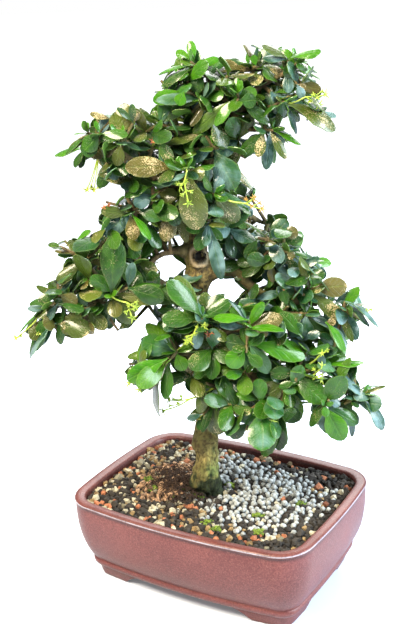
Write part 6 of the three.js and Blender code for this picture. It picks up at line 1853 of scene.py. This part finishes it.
# %% Leaf finish
foliage = Finish("leaf", IOR=1.42, Specular_IOR_Level=0.22, Coat_Weight=0.5, Coat_Roughness=0.18)
flat = foliage.add("SeparateXYZ", {0: foliage.coordinates["UV"]}).outputs
beside = foliage.math("ABSOLUTE", foliage.math("MULTIPLY_ADD", flat["X"], 2.0, -1.0))
midrib = foliage.ranged(beside, 0.02, 0.14, 1.0, 0.0)
slanted = foliage.math("SUBTRACT", flat["Y"], foliage.times(beside, 0.2))
off_vein = foliage.math("SUBTRACT", foliage.math("FRACT", foliage.times(slanted, 8.0)), 0.5)
side_veins = foliage.ranged(foliage.math("ABSOLUTE", off_vein), 0.03, 0.14, 1.0, 0.0)
shade, youth, under = (foliage.mark(name) for name in ("shade", "youth", "under"))
dark = foliage.mottled(130.0, 0.25, (0.004, 0.02, 0.002), (0.02, 0.072, 0.006))["Color"]
bright = foliage.mottled(110.0, 0.25, (0.012, 0.095, 0.001), (0.062, 0.2, 0.003))["Color"]
pebbles = foliage.group(pebble, Scale=1150.0)["Height"]
# Patches where the finish paints highlights: cream specks on the pebbles' tops of older, higher-shade leaves,
# and a bluish sheen on lower-shade ones.
patch = foliage.times(foliage.ranged(foliage.noise(72.0, 2.0), 0.44, 0.66),
                      foliage.ranged(youth, 0.15, 0.7, 1.0, 0.15))
painted_highlight_share = foliage.times(patch, foliage.ranged(shade, 0.3, 0.75, 0.2, 1.0))
lowest = foliage.math("MULTIPLY_ADD", painted_highlight_share, -0.5, 0.93)
painted_highlight_specks = foliage.ranged(pebbles, lowest, foliage.math("ADD", lowest, 0.25))
green = foliage.layered(
    dark,
    (foliage.ranged(shade, 0.6, 1.0, 0.0, 0.85), (0.075, 0.062, 0.014)),
    (foliage.ranged(shade, 0.34, 0.0, 0.0, 0.85), (0.01, 0.045, 0.03)),
    (youth, bright),
    # painted highlight: cream specks
    (foliage.times(painted_highlight_specks, 0.75), (0.42, 0.34, 0.19)),
    # painted sheen: a pale bluish patch on leaves of low shade
    (foliage.times(patch, foliage.ranged(shade, 0.4, 0.1, 0.0, 0.7)), (0.16, 0.26, 0.27)),
    (foliage.times(side_veins, 0.04), (0.12, 0.2, 0.03)),
    (foliage.times(midrib, 0.12), (0.11, 0.2, 0.03)),
    (foliage.ranged(beside, 0.86, 1.0, 0.0, 0.2), (0.18, 0.25, 0.06)),
    (foliage.times(under, 0.85), (0.07, 0.16, 0.02)),
)
relief = foliage.times(pebbles, foliage.ranged(youth, 0.0, 1.0, 1.0, 0.35))
for vein, depth in ((side_veins, 0.5), (midrib, 0.8)):
    relief = foliage.math("SUBTRACT", relief, foliage.times(vein, depth))
foliage.done(green, relief, 0.75, 0.0005, Roughness=foliage.ranged(under, 0, 1, 0.32, 0.6))
print("leaf finish has", len(foliage.tree.nodes), "nodes")

# %% [markdown]
# ## Sprays of leaves and their twigs
# Each spray becomes two pieces, since leaf and twig have different finishes. Its twigs are tapered rods
# like the limbs, but start in the middle of the wood, so that they grow out of it. The sprays low on the
# front and at the top of the photograph are the freshest green, and the tip of every twig ends in two
# or three tiny new leaves.

# %% Dress the sprays
FRESH = {"low_front_left": 0.55, "low_front": 0.5, "low_right": 0.45, "low_right_mid": 0.5,
         "front_rise": 0.45, "apex_left": 0.5, "crown_front": 0.4, "front": 0.4}
TWIG_END_RADIUS = 0.975


def twig_rows(spray):
    """The lines of a spray's twigs, each a row of points with its radius."""
    lines = []
    for k, end in enumerate(spray.ends):
        if k > 0 and spray.parents[k] == k - 1 and spray.ways[k].dot(spray.ways[k - 1]) > 0.5:
            lines[-1][-1] = spray.hubs[k - 1]
            lines[-1].append(end)
        else:
            lines.append([spray.wood_middle if spray.parents[k] < 0 else spray.froms[k], end])
    return [[(*point, lerp(SHOOT_RADIUS, TWIG_END_RADIUS, i / (len(line) - 1)))
             for i, point in enumerate(line)] for line in lines + spray.shoots]


def new_leaves(spray, chance):
    """Two or three tiny leaves at the tip of each twig."""
    tiny = []
    for k, end in enumerate(spray.ends):
        if k in spray.parents:
            continue
        axis = (spray.ways[k] + UP * 0.5).normalized()
        for turn in range(chance.choice((2, 3))):
            opening = math.radians(chance.uniform(14, 48))
            reach = splayed(axis, chance.uniform(0, 1) + turn * GOLDEN_ANGLE, opening)
            length = chance.uniform(8, 14)
            root = end - spray.ways[k] * 1.5
            tiny.append(Leaf(root, root + reach * length, axis - reach * 0.5 + UP * 0.2, length * 0.42, 0.08))
    return tiny


chance = random.Random(7)
for spray in sprays:
    tiny = new_leaves(spray, chance)
    grown = spray.leaves + spray.extra + tiny
    base = FRESH.get(spray.name, 0.14)
    youth = [kept(base + chance.gauss(0, 0.13)) for leaf in spray.leaves + spray.extra]
    youth += [chance.uniform(0.65, 1) for leaf in tiny]
    # Painted light: the shade leans high on the left, where the warm panel falls, towards bronze and painted
    # cream highlights, and low on the right, under the cool panel, towards the painted bluish sheen.
    shade = [kept(chance.random() - 0.0022 * leaf.root.dot(ACROSS)) for leaf in grown]
    for index, leaf in enumerate(grown):
        if leaf.look:
            youth[index], shade[index] = leaf.look
    shapes = [bent(flat_leaf, leaf, 1000 * spray.seed + index) for index, leaf in enumerate(grown)]
    leaves = copies(spray.name + "_leaves", pattern_leaf, shapes, {"youth": youth, "shade": shade})
    mark_points(leaves, "under", np.tile(flat_leaf[:, 2] < 0, len(grown)).astype(float))
    settle(leaves, spray.name + "_leaves", foliage, "leaf", [spray.name], smooth=50)
    twigs = as_mesh(tapered(twig_rows(spray)), 2, 3)
    for name, value in zip(BARK_MARKS, (2.0, 0, 0, 0, 0)):
        mark_points(twigs, name, np.full(len(twigs.data.vertices), float(value)))
    settle(twigs, spray.name + "_twigs", bark, "bark", [spray.name])
bpy.data.objects.remove(pattern_leaf)
print("leaves", sum(len(spray.leaves) for spray in sprays))

# %% [markdown]
# ## Calyx stars
# When the white flowers fall, their calyxes stay on: spidery yellow-green stars on thin forked stalks. A
# lobe is one small narrow blade, modelled like a leaf but plainer. Five copies, turned round the middle
# and bent back a little, make a star, with the green swelling of the young fruit in its centre.

# %% Calyx lobe
CYMES = [  # name, (spray, hub), fork of the stalk, stars
    ("cyme_low_left", ("low_left_heart", 0), (-63, -41, 255), [(-57, -44, 252), (-60, -45, 244)]),
    ("cyme_mid", ("mid_front", 0), (-15, -38, 344), [(-13, -39, 328), (-18, -38, 341)]),
    ("cyme_right", ("mid_front_right", 0), (29, -36, 325), [(41, -38, 321), (35, -35, 328)]),
    ("cyme_heart", ("front_heart", 0), (-13, -42, 231), [(-18, -44, 223), (-6, -42, 233)]),
    ("cyme_front", ("low_front_left", 1), (-46, -39, 193), [(-59, -41, 184), (-67, -39, 189)]),
    ("cyme_long", ("low_heart", 0), (-20, -36, 172), [(-42, -38, 164), (-37, -36, 172)]),
    ("cyme_low", ("low_front", 0), (39, -50, 157), [(37, -54, 150), (43, -53, 157)]),
    ("cyme_low_right", ("low_right_mid", 1), (74, -50, 191), [(81, -52, 190), (82, -50, 199)]),
    ("cyme_top", ("apex_right_low", 0), (77, -18, 398), [(91, -19, 399), (86, -21, 392)]),
]
LOBE_OUTLINE = [(0, 0.75), (0.3, 1.0), (0.7, 0.62), (1, 0.12)]
LOBE_LENGTH = 4.4
LOBE_WIDTH = 1.15
STALK_RADIUS = 0.75

pattern_lobe = blade_pattern(LOBE_OUTLINE, 2)
flat_lobe = points_of(pattern_lobe)
fruit = fresh(bpy.ops.mesh.primitive_uv_sphere_add, segments=8, ring_count=6, radius=0.5)
with edit_mode():
    bpy.ops.transform.resize(value=(1, 1, 0.8))
flat_fruit = points_of(fruit)
print("lobe", len(pattern_lobe.data.polygons), "faces, fruit", len(fruit.data.polygons), "faces")

# %% Calyx finish
calyx = Finish("calyx", Roughness=0.5, IOR=1.45)
lively = calyx.mottled(500.0, 0.2, (0.13, 0.24, 0.012), (0.38, 0.46, 0.06))["Color"]
wilted = calyx.mottled(700.0, 0.2, (0.16, 0.03, 0.02), (0.5, 0.17, 0.06))["Color"]
calyx.done(calyx.blend(calyx.mark("wilt"), lively, wilted), calyx.noise(1500.0, 2.0), 0.3, 0.0003)
print("calyx finish has", len(calyx.tree.nodes), "nodes")

# %% [markdown]
# ## Cymes
# A cyme leaves the tip of a twig, forks, and bears a star on each branch. The stalk sags a little under
# its own weight, so its rod gets a point halfway that lies lower than a straight line would. A few old
# flowers have wilted to an orange-red crumple, which is the same star in the wilted colour. Single
# flowers are placed as they show in the picture, and hang on the twig that shows nearest.

# %% Cymes
VIEWER = -BACK * 0.85 + UP * 0.5


def sagging(start, end, thick, sag=0.06):
    """A stalk between two points with its middle let down."""
    middle = (start + end) / 2 - UP * ((end - start).length * sag)
    return [(*start, thick), (*middle, thick * 0.85), (*end, thick)]


def star_lobes(centre, normal, key, length, opening):
    """Five lobes round a centre, as leaves that are narrow and short."""
    lobes = []
    for index in range(5):
        reach = splayed(normal, index * math.tau / 5 + draw(key, index) * 0.7, opening)
        tip = centre + reach * (length * lerp(0.8, 1.15, draw(key, index, 2)))
        lobes.append(Leaf(centre - normal * 0.4, tip, normal - reach * 0.3, LOBE_WIDTH, 0.12))
    return lobes


def flowers(stars, stalks, wilt, key):
    """One piece of lobes, fruits and stalks: stars as (centre, normal, length, opening)."""
    lobes = []
    for index, (centre, normal, length, opening) in enumerate(stars):
        lobes += star_lobes(centre, normal, key + index, length, opening)
    shapes = [bent(flat_lobe, lobe, key * 7 + index, 0.4) for index, lobe in enumerate(lobes)]
    balls = [flat_fruit * 1.9 + np.array(centre) for centre, *_ in stars]
    return joined([
        copies("lobes", pattern_lobe, shapes, {"wilt": [wilt] * len(shapes)}),
        copies("fruits", fruit, balls, {"wilt": [wilt * 0.5] * len(balls)}),
        as_mesh(tapered(stalks), 1, 4),
    ])


by_name = {spray.name: spray for spray in sprays}
for key, (name, (spray_name, hub), fork, centres) in enumerate(CYMES):
    knee = tree_point(*fork)
    stalks = [sagging(by_name[spray_name].ends[hub], knee, STALK_RADIUS)]
    stars = []
    for place in centres:
        centre = tree_point(*place)
        stalks.append(sagging(knee, centre, STALK_RADIUS * 0.85))
        outward = ((centre - knee).normalized() + VIEWER).normalized()
        stars.append((centre, outward, LOBE_LENGTH, math.radians(78)))
        for side in (-1, 1):
            bud = knee.lerp(centre, 0.6) + (ACROSS * side * 2.6 + UP * (1.5 + side))
            stalks.append(sagging(knee.lerp(centre, 0.4), bud, STALK_RADIUS * 0.7))
            bud_way = (outward + ACROSS * side).normalized()
            stars.append((bud, bud_way, LOBE_LENGTH * 0.62, math.radians(45)))
    piece = flowers(stars, stalks, 0.7 if name == "cyme_right" else 0.0, 100 * (key + 1))
    settle(piece, name + "_stars", calyx, "calyx", [name], smooth=50)
print("cymes", len(CYMES))

# %% Single flowers
# Where each shows in the picture, and how far it has wilted
SMALL_FLOWERS = [(153, 142, 1), (104, 208, 1), (208, 335, 1), (87, 190, 0.1), (94, 190, 0.1), (366, 312, 0),
                 (322, 353, 0), (120, 255, 0), (141, 388, 0), (34, 336, 0), (16, 338, 0), (231, 422, 0.2),
                 (194, 420, 0.2), (186, 341, 0)]

for key, (u, v, wilt) in enumerate(SMALL_FLOWERS):
    _, hub, spray = min(shown_hubs, key=lambda row: math.dist(row[0], (u, v)))
    centre = at_pixel(u, v, hub.dot(BACK) - 6)
    start = min(spray.ends + spray.hubs, key=lambda point: (point - centre).length)
    stars = [(centre, VIEWER.normalized(), 3.6, math.radians(lerp(70, 50, wilt))),
             (centre + ACROSS * 3 + UP * 1.6, (VIEWER + ACROSS).normalized(), 3, math.radians(40))]
    stalks = [sagging(start, centre, STALK_RADIUS * 0.55), sagging(start, stars[1][0], STALK_RADIUS * 0.5)]
    piece = flowers(stars, stalks, wilt, 2000 + 50 * key)
    settle(piece, f"{spray.name}_flower_{key}", calyx, "calyx", [spray.name], smooth=50)
bpy.data.objects.remove(pattern_lobe)
bpy.data.objects.remove(fruit)
print("single flowers", len(SMALL_FLOWERS))

# %% [markdown]
# ## Drain screens
# Over each drain hole lies a square of plastic net that keeps the grit in. Its plain solid already has
# the right form, so only its finish is added.

# %% Screen finish
net = Finish("drain screen", Roughness=0.55)
dusty = net.mottled(160.0, 0.2, (0.012, 0.012, 0.013), (0.05, 0.045, 0.04))["Color"]
net.done(dusty, net.noise(900.0, 3.0), 0.3, 0.0002)
for name in ("screen_left", "screen_right"):
    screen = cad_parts[name]
    screen.data.materials.clear()
    screen.data.materials.append(net.material)
print("screens finished")
